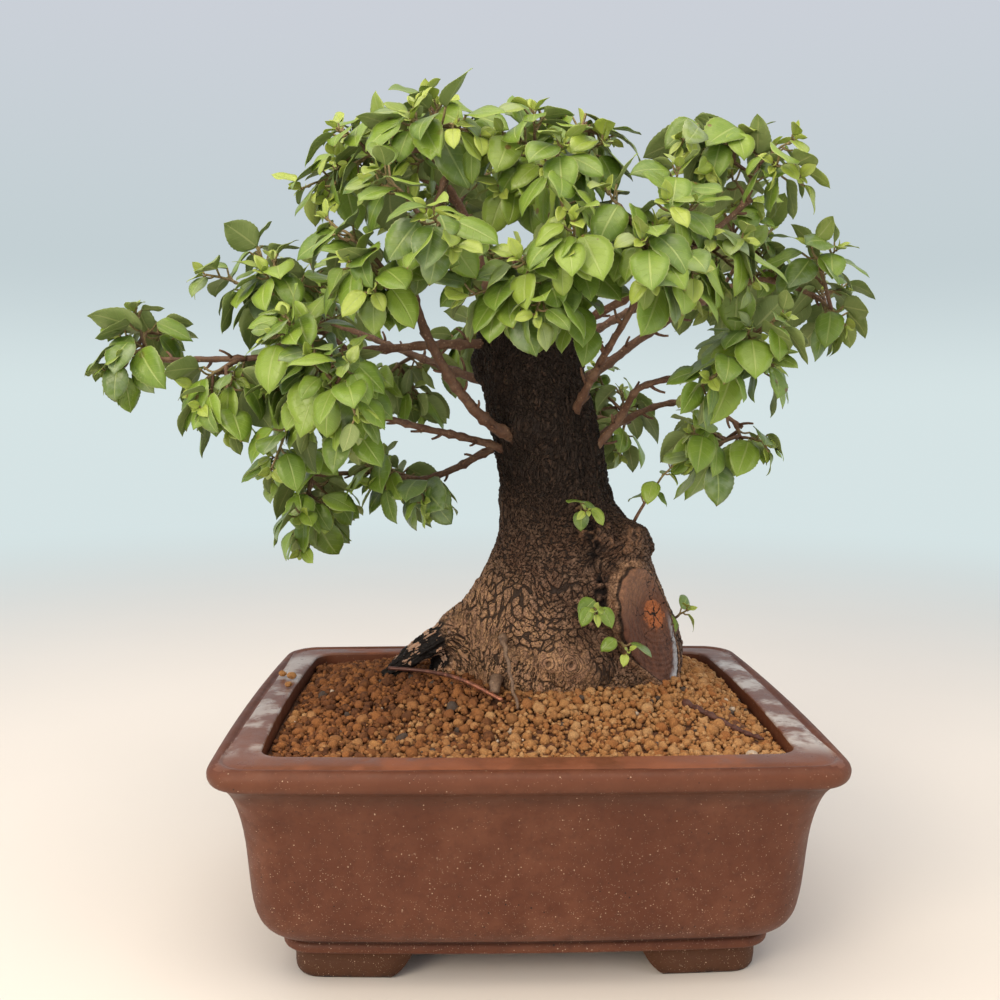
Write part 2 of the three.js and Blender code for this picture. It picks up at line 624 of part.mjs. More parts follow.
function shootsOf(name) {
  const [limb, share, ...tips] = sprayTable[name];
  const parent = new THREE.CatmullRomCurve3(limbPoints(limb), false, 'catmullrom', 0.5);
  const seed = 1 + Object.keys(sprayTable).indexOf(name) * 9;
  const list = [];
  let leader = null;
  tips.forEach((tip, i) => {
    const start = i === 0 ? parent.getPoint(share) : leader.getPoint(0.22 + 0.2 * i);
    const curve = shootCurve(start, onTree(tip));
    if (i === 0) leader = curve;
    const long = curve.getLength();
    list.push({ curve, seed: seed + i * 3, size: leafLength, radius: i === 0 ? shootRadius * 1.15 : shootRadius, long });
    const at = 0.3 + 0.4 * wobble(seed + i * 3 + 1, 2);
    const branch = seed + i * 3 + 1;
    const along = curve.getTangent(at);
    const side = sideVector(along, wobble(branch, 3) * Math.PI * 2);
    const reach = Math.min(34, Math.max(18, long * 0.42)) * (0.8 + 0.4 * wobble(branch, 4));
    const heading = along.clone().multiplyScalar(0.62).addScaledVector(side, 0.78);
    heading.z += 0.1;
    const end = curve.getPoint(at).addScaledVector(heading.normalize(), reach);
    const twig = shootCurve(curve.getPoint(at), end);
    list.push({ curve: twig, seed: branch + 400, size: leafLength * 0.9, radius: shootRadius * 0.8, long: reach });
  });
  return list;
}

function stemSolid(shoot, gap = 0) {
  const { curve, radius, long } = shoot;
  const steps = long > 60 ? 4 : 3;
  const points = [];
  const radii = [];
  for (let i = 0; i <= steps; i += 1) {
    points.push(curve.getPoint(i / steps));
    radii.push(radius * (1 - 0.45 * i / steps));
  }
  return taper(points, radii, 3, 1, gap);
}

// ---- placing without touching ----------------------------------------

const placed = [];

function boxOf(solid) {
  const { min, max } = solid.boundingBox();
  return new THREE.Box3(v(...min), v(...max));
}

function place(owner, solid) {
  placed.push({ owner, solid, box: boxOf(solid) });
}

function isClear(solid, owner) {
  const box = boxOf(solid);
  return placed.every((other) => other.owner === owner || !other.box.intersectsBox(box)
    || other.solid.intersect(solid).isEmpty());
}

const tree = new THREE.Group();

function addPiece(name, solid, colour, roughness) {
  const mesh = new THREE.Mesh(toGeometry(solid), material(colour, roughness));
  mesh.name = name;
  tree.add(mesh);
  place(name, solid);
  return mesh;
}

const trunkKeepOut = trunkRoom();
const potMesh = new THREE.Mesh(makePot(), material(colours.clay, 0.7));
potMesh.name = 'pot';
tree.add(potMesh);
place('pot', toSolid(potMesh.geometry));
addPiece('trunk', makeTrunk(), colours.bark, 0.95);

// ---- loose things on the soil and rim --------------------------------

// a place on the soil, spread with the mouth of the pot
function onSoil(x, y, rise) {
  const wide = x * (rimWide / 2 - rimFlat) / mouthX;
  const deep = y * (rimDeep / 2 - rimFlat) / mouthY;
  return v(wide, deep, soilHeight(wide, deep) + rise * (deep / y));
}

addPiece('tie_wire', taper(
  [v(-75, 10, soilEdge + 21.5), v(-52, 2, soilEdge + 21.5), v(-32, -14, soilEdge + 21), v(-12, -30, soilEdge + 16.5)],
  [wireRadius, wireRadius, wireRadius, wireRadius], 6, 4,
), colours.copper, 0.5);
addPiece('dead_twig', taper(
  [onSoil(86, -32, 3.2), onSoil(98, -44, 4.2), onSoil(110, -56, 4), onSoil(119, -68, 5)],
  [deadTwigRadius * 1.2, deadTwigRadius, deadTwigRadius * 0.9, deadTwigRadius * 0.6], 6, 3,
), colours.bark, 0.9);

function pebble(at, size, seed, gap = 0) {
  const ball = new THREE.DodecahedronGeometry(size + gap, 0);
  const p = ball.attributes.position;
  for (let i = 0; i < p.count; i += 1) {
    const lump = 1 + 0.16 * Math.sin(p.getX(i) * 2.3 / (1 + gap / size) + seed);
    p.setXYZ(i, p.getX(i) * lump * 1.15, p.getY(i) * lump * 0.9, p.getZ(i) * 0.8 * lump);
  }
  ball.translate(at.x, at.y, at.z);
  return toSolid(ball);
}

// each stone is bedded in the soil, which is dented to take it
const stones = {
  stone_grey: [onSoil(64, -70, 0.8), 3.1, 4, colours.stone],
  stone_pale: [onSoil(113, -12, 0.8), 3, 5, '#b5a58e'],
  stone_orange: [onSoil(112, -44, 0.8), 2.8, 6, '#c07a3c'],
};
let soil = makeSoil(trunkKeepOut);
Object.values(stones).forEach(([at, size, seed]) => {
  soil = soil.subtract(pebble(at, size, seed, clearance));
});
addPiece('soil', soil, colours.soil, 1);
Object.entries(stones).forEach(([name, [at, size, seed, colour]]) => {
  addPiece(name, pebble(at, size, seed), colour, 0.9);
});

// grains spilt on the rim
const spilt = {
  rim_grain_back: [9.5 - rimWide / 2, 39, 2.3, 1],
  rim_grain_mid: [15.5 - rimWide / 2, 33, 2.6, 2],
  rim_grain_front: [16.5 - rimWide / 2, 16, 2.1, 3],
};
Object.entries(spilt).forEach(([name, [x, y, size, seed]]) => {
  const grain = pebble(v(x, y, 0), size, seed);
  const low = grain.boundingBox().min[2];
  addPiece(name, pebble(v(x, y, potTall + 0.3 - low), size, seed), colours.soil, 0.9);
});

// ---- limbs, shoots and leaves ----------------------------------------

const limbRoom = {};
Object.keys(limbTable).forEach((name) => {
  const parent = limbTable[name][0];
  const room = parent === 'trunk' ? trunkKeepOut : limbRoom[parent];
  const bumps = placed.find((item) => item.owner === 'trunk').solid;
  const limb = limbSolid(name).subtract(room).subtract(bumps);
  addPiece(name, mainBody(limb), colours.limb, 0.9);
  limbRoom[name] = limbSolid(name, clearance);
});

const bunches = [];
Object.keys(sprayTable).forEach((name) => {
  const room = limbRoom[sprayTable[name][0]];
  const shoots = shootsOf(name).filter((shoot, i) => i % 2 === 0);
  let stem = stemSolid(shoots[0]);
  shoots.slice(1).forEach((shoot) => {
    stem = stem.add(stemSolid(shoot));
  });
  stem = mainBody(stem.subtract(room));
  place(name, stem);
  bunches.push({ name, shoots, stem, every: 2, blades: [] });
});

Object.keys(sproutTable).forEach((name, i) => {
  const [start, tip, count] = sproutTable[name];
  const curve = shootCurve(onTree(start), onTree(tip));
  const shoot = { curve, seed: 700 + i * 7, size: sproutLeaf, radius: 0.9, long: curve.getLength(), count };
  const stem = mainBody(stemSolid(shoot).subtract(trunkKeepOut).subtract(placed[1].solid));
  place(name, stem);
  bunches.push({ name, shoots: [shoot], stem, every: 1, blades: [] });
});

bunches.forEach((bunch) => {
  let solid = bunch.stem;
  bunch.shoots.forEach((shoot) => {
    const count = shoot.count || Math.max(4, Math.round(shoot.long / 12));
    for (let j = 0; j < count; j += 1) {
      if ((j + shoot.seed) % bunch.every !== 0) continue;
      const pose = leafPose(shoot.curve, j, count, shoot.seed, shoot.size);
      if (!isClear(leafSolid(pose, clearance), bunch.name)) continue;
      const leaf = leafSolid(pose);
      if (bunch.blades.some((other) => !other.intersect(leaf).isEmpty())) continue;
      bunch.blades.push(leaf);
      solid = solid.add(leaf);
      place(bunch.name, leaf);
    }
  });
  const mesh = new THREE.Mesh(toGeometry(mainBody(solid)), material(colours.leaf, 0.6));
  mesh.name = bunch.name;
  tree.add(mesh);
});

// the part's origin is the middle of its box, at the feet
const bounds = new THREE.Box3().setFromObject(tree);
tree.position.set(-(bounds.min.x + bounds.max.x) / 2, -(bounds.min.y + bounds.max.y) / 2, -bounds.min.z);

export default tree;
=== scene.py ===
# Bonsai tree in a rectangular clay pot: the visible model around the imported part.
# Sizes are in millimetres from the middle of the pot's foot, and become metres in meshOf().
import math

import bpy
import numpy as np
from mathutils import Matrix, Vector


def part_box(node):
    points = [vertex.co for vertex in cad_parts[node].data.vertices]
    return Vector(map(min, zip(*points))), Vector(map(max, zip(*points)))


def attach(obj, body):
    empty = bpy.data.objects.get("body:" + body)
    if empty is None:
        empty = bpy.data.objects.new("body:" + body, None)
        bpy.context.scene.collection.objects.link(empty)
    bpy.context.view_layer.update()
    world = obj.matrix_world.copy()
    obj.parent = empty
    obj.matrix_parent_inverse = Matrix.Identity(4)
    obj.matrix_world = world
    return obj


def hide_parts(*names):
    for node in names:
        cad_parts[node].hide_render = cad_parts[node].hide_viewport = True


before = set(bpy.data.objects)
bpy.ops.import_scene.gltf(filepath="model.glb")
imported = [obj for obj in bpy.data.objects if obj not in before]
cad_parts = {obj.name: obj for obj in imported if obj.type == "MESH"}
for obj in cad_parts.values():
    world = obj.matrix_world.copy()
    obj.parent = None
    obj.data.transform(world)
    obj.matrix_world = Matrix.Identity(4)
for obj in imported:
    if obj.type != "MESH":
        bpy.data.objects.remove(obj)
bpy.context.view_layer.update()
potLow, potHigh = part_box("pot")
potMiddle = np.array([(potLow[0] + potHigh[0]) / 2, (potLow[1] + potHigh[1]) / 2, 0.0])
mm = 0.001

cameraSettings = {"at": (-29.8, -557.5, 280.2), "yaw": -1.83, "pitch": 5.38, "roll": 0.27, "lens": 36.3}


def newObject(name, data):
    made = bpy.data.objects.new(name, data)
    bpy.context.collection.objects.link(made)
    return made


def addCamera(s):
    camera = newObject("camera", bpy.data.cameras.new("camera"))
    camera.data.lens = s["lens"]
    camera.data.sensor_width = 36.0
    camera.data.clip_start = 0.02
    turn = (Matrix.Rotation(math.radians(s["yaw"]), 4, "Z") @ Matrix.Rotation(math.radians(90 - s["pitch"]), 4, "X")
            @ Matrix.Rotation(math.radians(s["roll"]), 4, "Z"))
    camera.matrix_world = Matrix.Translation(Vector(potMiddle) + Vector(s["at"]) * mm) @ turn
    bpy.context.scene.camera = camera


addCamera(cameraSettings)
print("camera placed")


def wobble(seed, k):  # repeatable number from 0 to 1
    value = math.sin(seed * 12.9898 + k * 78.233) * 43758.5453
    return value - math.floor(value)


def unit(a):
    return a / max(float(np.linalg.norm(a)), 1e-12)


def latticeNumber(cell, seed):
    a = np.sin(cell[..., 0] * 127.1 + cell[..., 1] * 311.7 + cell[..., 2] * 74.7 + seed * 19.19) * 43758.5453
    return a - np.floor(a)


def softNoise(p, seed=0):
    cell = np.floor(p)
    f = p - cell
    f = f * f * (3 - 2 * f)
    total = np.zeros(len(p))
    for corner in range(8):
        side = np.array([corner & 1, corner >> 1 & 1, corner >> 2 & 1])
        weight = np.prod(np.where(side, f, 1 - f), axis=1)
        total += weight * latticeNumber(cell + side, seed)
    return total


def cloudNoise(p, octaves=3, seed=0):  # about -1 to 1, fine detail on coarse
    total, size = np.zeros(len(p)), 1.0
    for k in range(octaves):
        total += size * (softNoise(p * 2 ** k, seed + k) - 0.5)
        size *= 0.55
    return total


def plates(p, seed=0):  # distance into the nearest plate's edge, and a number for that plate
    cell = np.floor(p)
    best, second, own = np.full(len(p), 9.0), np.full(len(p), 9.0), np.zeros(len(p))
    for k in range(27):
        c = cell + np.array([k % 3 - 1, k // 3 % 3 - 1, k // 9 - 1])
        spot = c + np.stack([latticeNumber(c, seed + j) for j in (1, 2, 3)], axis=1)
        d = np.linalg.norm(spot - p, axis=1)
        closer = d < best
        second = np.where(closer, best, np.minimum(second, d))
        own = np.where(closer, latticeNumber(c, seed + 7), own)
        best = np.where(closer, d, best)
    return second - best, own


def ease(low, high, value):
    t = np.clip((value - low) / (high - low), 0, 1)
    return t * t * (3 - 2 * t)


class Heap:  # many small shapes on their way to one mesh
    def __init__(self, *valueNames):
        self.points, self.faces, self.count = [], [], 0
        self.values = {name: [] for name in valueNames}

    def add(self, points, *faces, slot=0, **values):
        points = np.asarray(points, float)
        for face in faces:
            self.faces.append((np.asarray(face) + self.count, slot))
        for name, store in self.values.items():
            shape = (len(points), 3) if name.endswith("Place") else (len(points),)
            store.append(np.broadcast_to(np.asarray(values.get(name, 0.0), float), shape))
        self.points.append(points)
        self.count += len(points)


def meshOf(name, heap):
    points = np.concatenate(heap.points) * mm + potMiddle
    corners = np.concatenate([f.ravel() for f, _ in heap.faces])
    sizes = np.concatenate([np.full(len(f), f.shape[1]) for f, _ in heap.faces])
    slots = np.concatenate([np.full(len(f), slot) for f, slot in heap.faces])
    mesh = bpy.data.meshes.new(name)
    mesh.vertices.add(len(points))
    mesh.vertices.foreach_set("co", points.astype(np.float32).ravel())
    mesh.loops.add(len(corners))
    mesh.loops.foreach_set("vertex_index", corners.astype(np.int32))
    mesh.polygons.add(len(sizes))
    mesh.polygons.foreach_set("loop_start", np.concatenate([[0], np.cumsum(sizes)[:-1]]).astype(np.int32))
    mesh.polygons.foreach_set("material_index", slots.astype(np.int32))
    mesh.polygons.foreach_set("use_smooth", np.ones(len(sizes), bool))
    mesh.update(calc_edges=True)
    for valueName, store in heap.values.items():
        setValues(mesh, valueName, np.concatenate(store))
    return mesh


def setValues(mesh, name, data):
    place = name.endswith("Place")
    attribute = mesh.attributes.new(name, "FLOAT_VECTOR" if place else "FLOAT", "POINT")
    attribute.data.foreach_set("vector" if place else "value", np.asarray(data, np.float32).ravel())


def addPiece(name, mesh, materials, slotName, *replaced):
    for material in materials:
        mesh.materials.append(material)
    piece = newObject(name, mesh)
    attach(piece, "root")
    if replaced:
        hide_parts(*replaced)
    return piece


def vectorsOf(items, name):
    flat = np.empty(len(items) * 3, np.float32)
    items.foreach_get(name, flat)
    return flat.reshape(-1, 3).astype(float)


def pointsOf(mesh):
    return (vectorsOf(mesh.vertices, "co") - potMiddle) / mm


def shaped(mesh, *settings):  # a mesh after a list of modifiers, each a type and its values
    holder = newObject("holder", mesh)
    for kind, values in settings:
        modifier = holder.modifiers.new(kind.lower(), kind)
        for key, value in values.items():
            setattr(modifier, key, value)
    bpy.context.view_layer.update()
    result = bpy.data.meshes.new_from_object(holder.evaluated_get(bpy.context.evaluated_depsgraph_get()))
    bpy.data.objects.remove(holder)
    return result


def joined(mesh, other, operation):  # exact join or cut of two closed meshes
    tool = newObject("tool", other)
    result = shaped(mesh, ("BOOLEAN", {"object": tool, "operation": operation, "solver": "EXACT"}))
    bpy.data.objects.remove(tool)
    return result


def skin(rings, loop=False):  # quads round rings of equal count, and a fan at each open end
    rings = np.asarray(rings, float)
    rows, count = rings.shape[:2]
    k = np.arange(count)
    quads = []
    for i in range(rows if loop else rows - 1):
        low, high = i * count, (i + 1) % rows * count
        quads.append(np.stack([low + k, low + (k + 1) % count, high + (k + 1) % count, high + k], axis=1))
    points = rings.reshape(-1, 3)
    if loop:
        return points, np.concatenate(quads), np.zeros((0, 3), int)
    hubs = np.stack([rings[0].mean(axis=0), rings[-1].mean(axis=0)])
    end = (rows - 1) * count
    fans = np.concatenate([
        np.stack([np.full(count, len(points)), (k + 1) % count, k], axis=1),
        np.stack([np.full(count, len(points) + 1), end + k, end + (k + 1) % count], axis=1)])
    return np.concatenate([points, hubs]), np.concatenate(quads), fans


def spline(points, t):  # smooth curve through points, t from 0 to 1
    points = np.asarray(points, float)
    last = len(points) - 1
    low = min(int(math.floor(last * t)), last - 1)
    w = last * t - low
    p1, p2 = points[low], points[low + 1]
    p0 = points[low - 1] if low > 0 else 2 * points[0] - points[1]
    p3 = points[low + 2] if low + 2 <= last else 2 * points[last] - points[last - 1]
    m1, m2 = 0.5 * (p2 - p0), 0.5 * (p3 - p1)
    return p1 + m1 * w + (-3 * p1 + 3 * p2 - 2 * m1 - m2) * w ** 2 + (2 * p1 - 2 * p2 + m1 + m2) * w ** 3


def tube(path, radii, sides=8, rough=0.0, seed=0):
    path = np.asarray(path, float)
    radii = np.broadcast_to(np.asarray(radii, float), (len(path),))
    along = np.gradient(path, axis=0)
    along /= np.linalg.norm(along, axis=1)[:, None]
    side = np.array([1.0, 0, 0]) if abs(along[0][2]) > 0.9 else np.array([0, 0, 1.0])
    angles = np.arange(sides) / sides * 2 * math.pi
    rings = []
    for i, middle in enumerate(path):
        side = unit(side - along[i] * np.dot(side, along[i]))
        other = np.cross(along[i], side)
        lump = 1 + rough * np.array([wobble(seed + i, k) - 0.5 for k in range(sides)])
        rings.append(middle + (radii[i] * lump * np.cos(angles))[:, None] * side
                     + (radii[i] * lump * np.sin(angles))[:, None] * other)
    return skin(rings)


# small helpers for wiring materials
def put(tree, socket, value):
    if isinstance(value, bpy.types.NodeSocket):
        tree.links.new(value, socket)
    else:
        socket.default_value = value


def newNode(tree, kind, inputs, **settings):  # inputs go by number or name, and the outputs come back
    node = tree.nodes.new("ShaderNode" + kind)
    for name, value in settings.items():
        setattr(node, name, value)
    for key, value in inputs.items():
        put(tree, node.inputs[key], value)
    return node.outputs


def newMaterial(name):
    material = bpy.data.materials.new(name)
    material.use_nodes = True
    tree = material.node_tree
    tree.nodes.clear()
    out = tree.nodes.new("ShaderNodeOutputMaterial")
    shader = tree.nodes.new("ShaderNodeBsdfPrincipled")
    tree.links.new(shader.outputs[0], out.inputs[0])
    return material, tree, shader.inputs


def calc(tree, operation, a, b=0.0):
    return newNode(tree, "Math", {0: a, 1: b}, operation=operation)[0]


def times(tree, value, *others):
    for other in others:
        value = calc(tree, "MULTIPLY", value, other)
    return value


def plus(tree, a, b):
    return calc(tree, "ADD", a, b)


def mix(tree, amount, a, b):
    a, b = (colour if isinstance(colour, bpy.types.NodeSocket) else (*colour, 1.0) for colour in (a, b))
    return newNode(tree, "Mix", {0: amount, 6: a, 7: b}, data_type="RGBA")[2]


def paint(tree, under, over, *masks):  # a colour over another where all the masks meet
    return mix(tree, times(tree, *masks), under, over)


def rise(tree, value, low, high, toLow=0.0, toHigh=1.0):  # smooth step between two numbers
    numbers = dict(enumerate((value, low, high, toLow, toHigh)))
    return newNode(tree, "MapRange", numbers, interpolation_type="SMOOTHSTEP")[0]


def attribute(tree, name, output="Fac"):
    return newNode(tree, "Attribute", {}, attribute_name=name)[output]


def stretched(tree, vector, stretch):
    return newNode(tree, "VectorMath", {0: vector, 1: stretch}, operation="MULTIPLY")[0]


def place(tree, stretch=(1000, 1000, 1000), name=None):  # surface position, in millimetres unless stretched
    source = attribute(tree, name, "Vector") if name else newNode(tree, "TexCoord", {})["Object"]
    return stretched(tree, source, stretch)


def axes(tree, vector):
    return newNode(tree, "SeparateXYZ", {0: vector})


def noise(tree, vector, scale, detail=4.0, rough=0.55):
    return newNode(tree, "TexNoise", {"Vector": vector, "Scale": scale, "Detail": detail, "Roughness": rough})["Fac"]


def cracks(tree, vector, scale, width):  # 1 along the edges of small cells, 0 inside
    cells = newNode(tree, "TexVoronoi", {"Vector": vector, "Scale": scale}, feature="DISTANCE_TO_EDGE")
    return rise(tree, cells["Distance"], 0.0, width, 1.0, 0.0)


def warped(tree, vector, scale, amount):  # the same place, pushed about by soft noise
    push = newNode(tree, "TexNoise", {"Vector": vector, "Scale": scale, "Detail": 3})["Color"]
    return newNode(tree, "VectorMath", {0: push, 1: (amount, amount, amount), 2: vector}, operation="MULTIPLY_ADD")[0]


def bump(tree, height, strength, distance, normal=None):
    inputs = {"Strength": strength, "Distance": distance * mm, "Height": height}
    if normal is not None:
        inputs["Normal"] = normal
    return newNode(tree, "Bump", inputs)[0]


def newGroup(name, inputs):  # a group from a place and some numbers to one mask
    group = bpy.data.node_groups.new(name, "ShaderNodeTree")
    group.interface.new_socket("Vector", in_out="INPUT", socket_type="NodeSocketVector")
    for socketName, default in inputs.items():
        group.interface.new_socket(socketName, in_out="INPUT", socket_type="NodeSocketFloat").default_value = default
    group.interface.new_socket("Mask", in_out="OUTPUT", socket_type="NodeSocketFloat")
    return group, group.nodes.new("NodeGroupInput").outputs, group.nodes.new("NodeGroupOutput").inputs["Mask"]


def use(tree, group, vector, **values):
    return newNode(tree, "Group", {"Vector": vector, **values}, node_tree=group)[0]


def makeMottle():  # soft patches for uneven colour
    group, given, mask = newGroup("mottle", {"Scale": 0.05, "Low": 0.35, "High": 0.65})
    cloud = noise(group, given["Vector"], given["Scale"], 5, 0.6)
    put(group, mask, rise(group, cloud, given["Low"], given["High"]))
    return group


def makeSpeckle():  # scattered small spots
    group, given, mask = newGroup("speckle", {"Scale": 0.4, "Size": 0.25, "Amount": 0.2})
    cells = newNode(group, "TexVoronoi", {"Vector": given["Vector"], "Scale": given["Scale"]})
    pick = newNode(group, "SeparateColor", {0: cells["Color"]})
    chosen = calc(group, "LESS_THAN", pick[0], given["Amount"])
    inside = calc(group, "LESS_THAN", cells["Distance"], times(group, given["Size"], pick[1]))
    put(group, mask, times(group, chosen, inside))
    return group


mottle = makeMottle()
speckle = makeSpeckle()


pot = {"wide": 300, "deep": 240, "tall": 117, "corner": 18, "rimFlat": 22.4, "lip": 10, "wall": 9, "floor": 9,
       "bodyInset": 13, "bandInset": 29, "band": 6, "foot": 15, "footInset": 34.5, "footThick": 20,
       "footLong": (48, 40), "bow": 2.6, "holeRadius": 13, "holeApart": 124, "cornerSteps": 9, "sideSteps": 22}
bandTop = pot["foot"] + pot["band"]
potFloor = pot["foot"] + pot["floor"]
lipLow = pot["tall"] - pot["lip"]
soilEdge = pot["tall"] - 8.5


def potRing(inset, z, corner, cornerSteps=None, sideSteps=None):  # rounded rectangle with sides bowed a little
    halfX, halfY, radius = pot["wide"] / 2 - inset, pot["deep"] / 2 - inset, max(corner, 2)
    cornerSteps, sideSteps = cornerSteps or pot["cornerSteps"], sideSteps or pot["sideSteps"]
    signs, ring = [(1, 1), (-1, 1), (-1, -1), (1, -1)], []
    for q, (sx, sy) in enumerate(signs):
        for i in range(cornerSteps + 1):
            a = (q + i / cornerSteps) * math.pi / 2
            ring.append((sx * (halfX - radius) + radius * math.cos(a), sy * (halfY - radius) + radius * math.sin(a), z))
        nx, ny = signs[(q + 1) % 4]
        a = (q + 1) * math.pi / 2
        start = ring[-1]
        end = (nx * (halfX - radius) + radius * math.cos(a), ny * (halfY - radius) + radius * math.sin(a))
        for i in range(1, sideSteps):
            s = i / sideSteps
            out = pot["bow"] * (1 - (2 * s - 1) ** 2)
            ring.append((start[0] + (end[0] - start[0]) * s + out * math.cos(a),
                         start[1] + (end[1] - start[1]) * s + out * math.sin(a), z))
    return ring


def innerRow(z):  # inset, height and corner of the inner wall
    t = min(max((z - potFloor) / (pot["tall"] - potFloor), 0), 1)
    tuck = 14 * (1 - min(1, t / 0.22)) ** 2
    high = max(0, (t - 0.75) / 0.25)
    low = pot["bodyInset"] + pot["wall"] + 2.5 * (1 - t)
    return low + (pot["rimFlat"] - low) * high + tuck, z, 13


def potRows():  # inset, height and corner of each row, from the base band up over the rim and down the inside
    band, body, bodyTall = pot["bandInset"], pot["bodyInset"], lipLow - bandTop
    top, corner, flat = pot["tall"], pot["corner"], pot["rimFlat"]
    outside = [
        (band + 2.5, pot["foot"], 15), (band + 0.4, pot["foot"] + 1.2, 16), (band, pot["foot"] + 3.3, 17),
        (band + 0.8, bandTop - 0.8, 17), (band + 2, bandTop, 17), (band + 1.2, bandTop + 1.2, 17),
        (body + 12.5, bandTop + 3, 19), (body + 7.6, bandTop + 7.5, 21), (body + 4.4, bandTop + 14, 22),
        (body + 2.2, bandTop + 26, 23), (body + 0.4, bandTop + bodyTall * 0.62, 23), (body - 1.8, lipLow - 19, 22),
        (body - 3.8, lipLow - 11, 21), (body - 6.4, lipLow - 5, 20), (body - 9.4, lipLow - 1.4, 19)]
    rim = [
        (1.7, lipLow - 0.3, corner), (0.5, lipLow + 1.8, corner), (0, top - 5, corner), (0.7, top - 2.4, corner),
        (2.6, top - 0.7, corner), (5.2, top - 0.1, corner - 2), (6.6, top - 1.5, corner - 3),
        (8.2, top - 1.1, corner - 4), (10.5, top - 0.3, corner - 5), (flat - 1.6, top, 12),
        (flat - 0.4, top - 0.5, 12)]
    inside = (top - 1.8, top - 24, potFloor + 30, potFloor + 13, potFloor + 5, potFloor + 1, potFloor)
    return outside + rim + [innerRow(z) for z in inside]


def finer(rows, parts, rounds):  # rows split evenly, their bends eased
    rows = np.asarray(rows, float)
    at = np.linspace(0, len(rows) - 1, (len(rows) - 1) * parts + 1)
    fine = np.stack([np.interp(at, np.arange(len(rows)), rows[:, k]) for k in range(3)], axis=1)
    for _ in range(rounds):
        fine[1:-1] = 0.25 * fine[:-2] + 0.5 * fine[1:-1] + 0.25 * fine[2:]
    return fine


def closedMesh(name, shape):
    heap = Heap()
    heap.add(shape[0], *[f for f in shape[1:] if len(f)])
    return meshOf(name, heap)


def footGap(half, length, turned):  # bar between two feet, its ends curved like an ogee
    high = pot["foot"]
    ogee = [(-1, -3), (0, 0), (0.4, 0.6), (2.2, 1.9), (4.6, 4), (7.6, 7.6), (10, 11.4),
            (11.6, high - 0.8), (12.5, high + 3)]
    edge = [spline([(a, b, 0) for a, b in ogee], t) for t in np.linspace(0, 1, 25)]
    outline = [(half - e[0], e[1]) for e in edge] + [(e[0] - half, e[1]) for e in reversed(edge)]
    rings = [[(x, y, z) if not turned else (-y, x, z) for x, z in outline] for y in (length / 2, -length / 2)]
    return closedMesh("gap", skin(rings))


def makePot():
    body = closedMesh("clay_pot", skin([potRing(*row) for row in finer(potRows(), 3, 2)]))
    inset, high, thick = pot["footInset"], pot["foot"], pot["footThick"]
    feet = closedMesh("feet", skin([potRing(*row, 6, 14) for row in (
        (inset + 3, 0, 12), (inset + 1.2, 0.5, 13), (inset + 0.3, 2, 14), (inset, 5, 14), (inset, high * 0.6, 14),
        (inset + 0.8, high + 1, 14), (inset + thick, high + 1, 8), (inset + thick + 1.5, 0, 8))], loop=True))
    longX, longY = pot["footLong"]
    feet = joined(feet, footGap(pot["wide"] / 2 - inset - longX, pot["deep"] + 20, False), "DIFFERENCE")
    feet = joined(feet, footGap(pot["deep"] / 2 - inset - longY, pot["wide"] + 20, True), "DIFFERENCE")
    whole = joined(body, feet, "UNION")
    around = np.arange(40) / 40 * 2 * math.pi
    for side in (-1, 1):
        circle = np.stack([side * pot["holeApart"] / 2 + pot["holeRadius"] * np.cos(around),
                           pot["holeRadius"] * np.sin(around), np.zeros(40)], axis=1)
        drill = skin([circle + (0, 0, z) for z in (pot["foot"] - 9, potFloor + 9)])
        whole = joined(whole, closedMesh("drill", drill), "DIFFERENCE")
    for polygon in whole.polygons:
        polygon.use_smooth = True
    return whole


claySettings = {"body": (0.098, 0.027, 0.011), "dark": (0.052, 0.015, 0.007), "pink": (0.150, 0.050, 0.024),
                "band": (0.062, 0.023, 0.011), "foot": (0.070, 0.029, 0.013), "wet": (0.085, 0.036, 0.021),
                "shelf": (0.255, 0.088, 0.042), "skyReflection": (0.58, 0.54, 0.51), "fleck": (0.56, 0.40, 0.28),
                "grit": (0.024, 0.012, 0.009)}


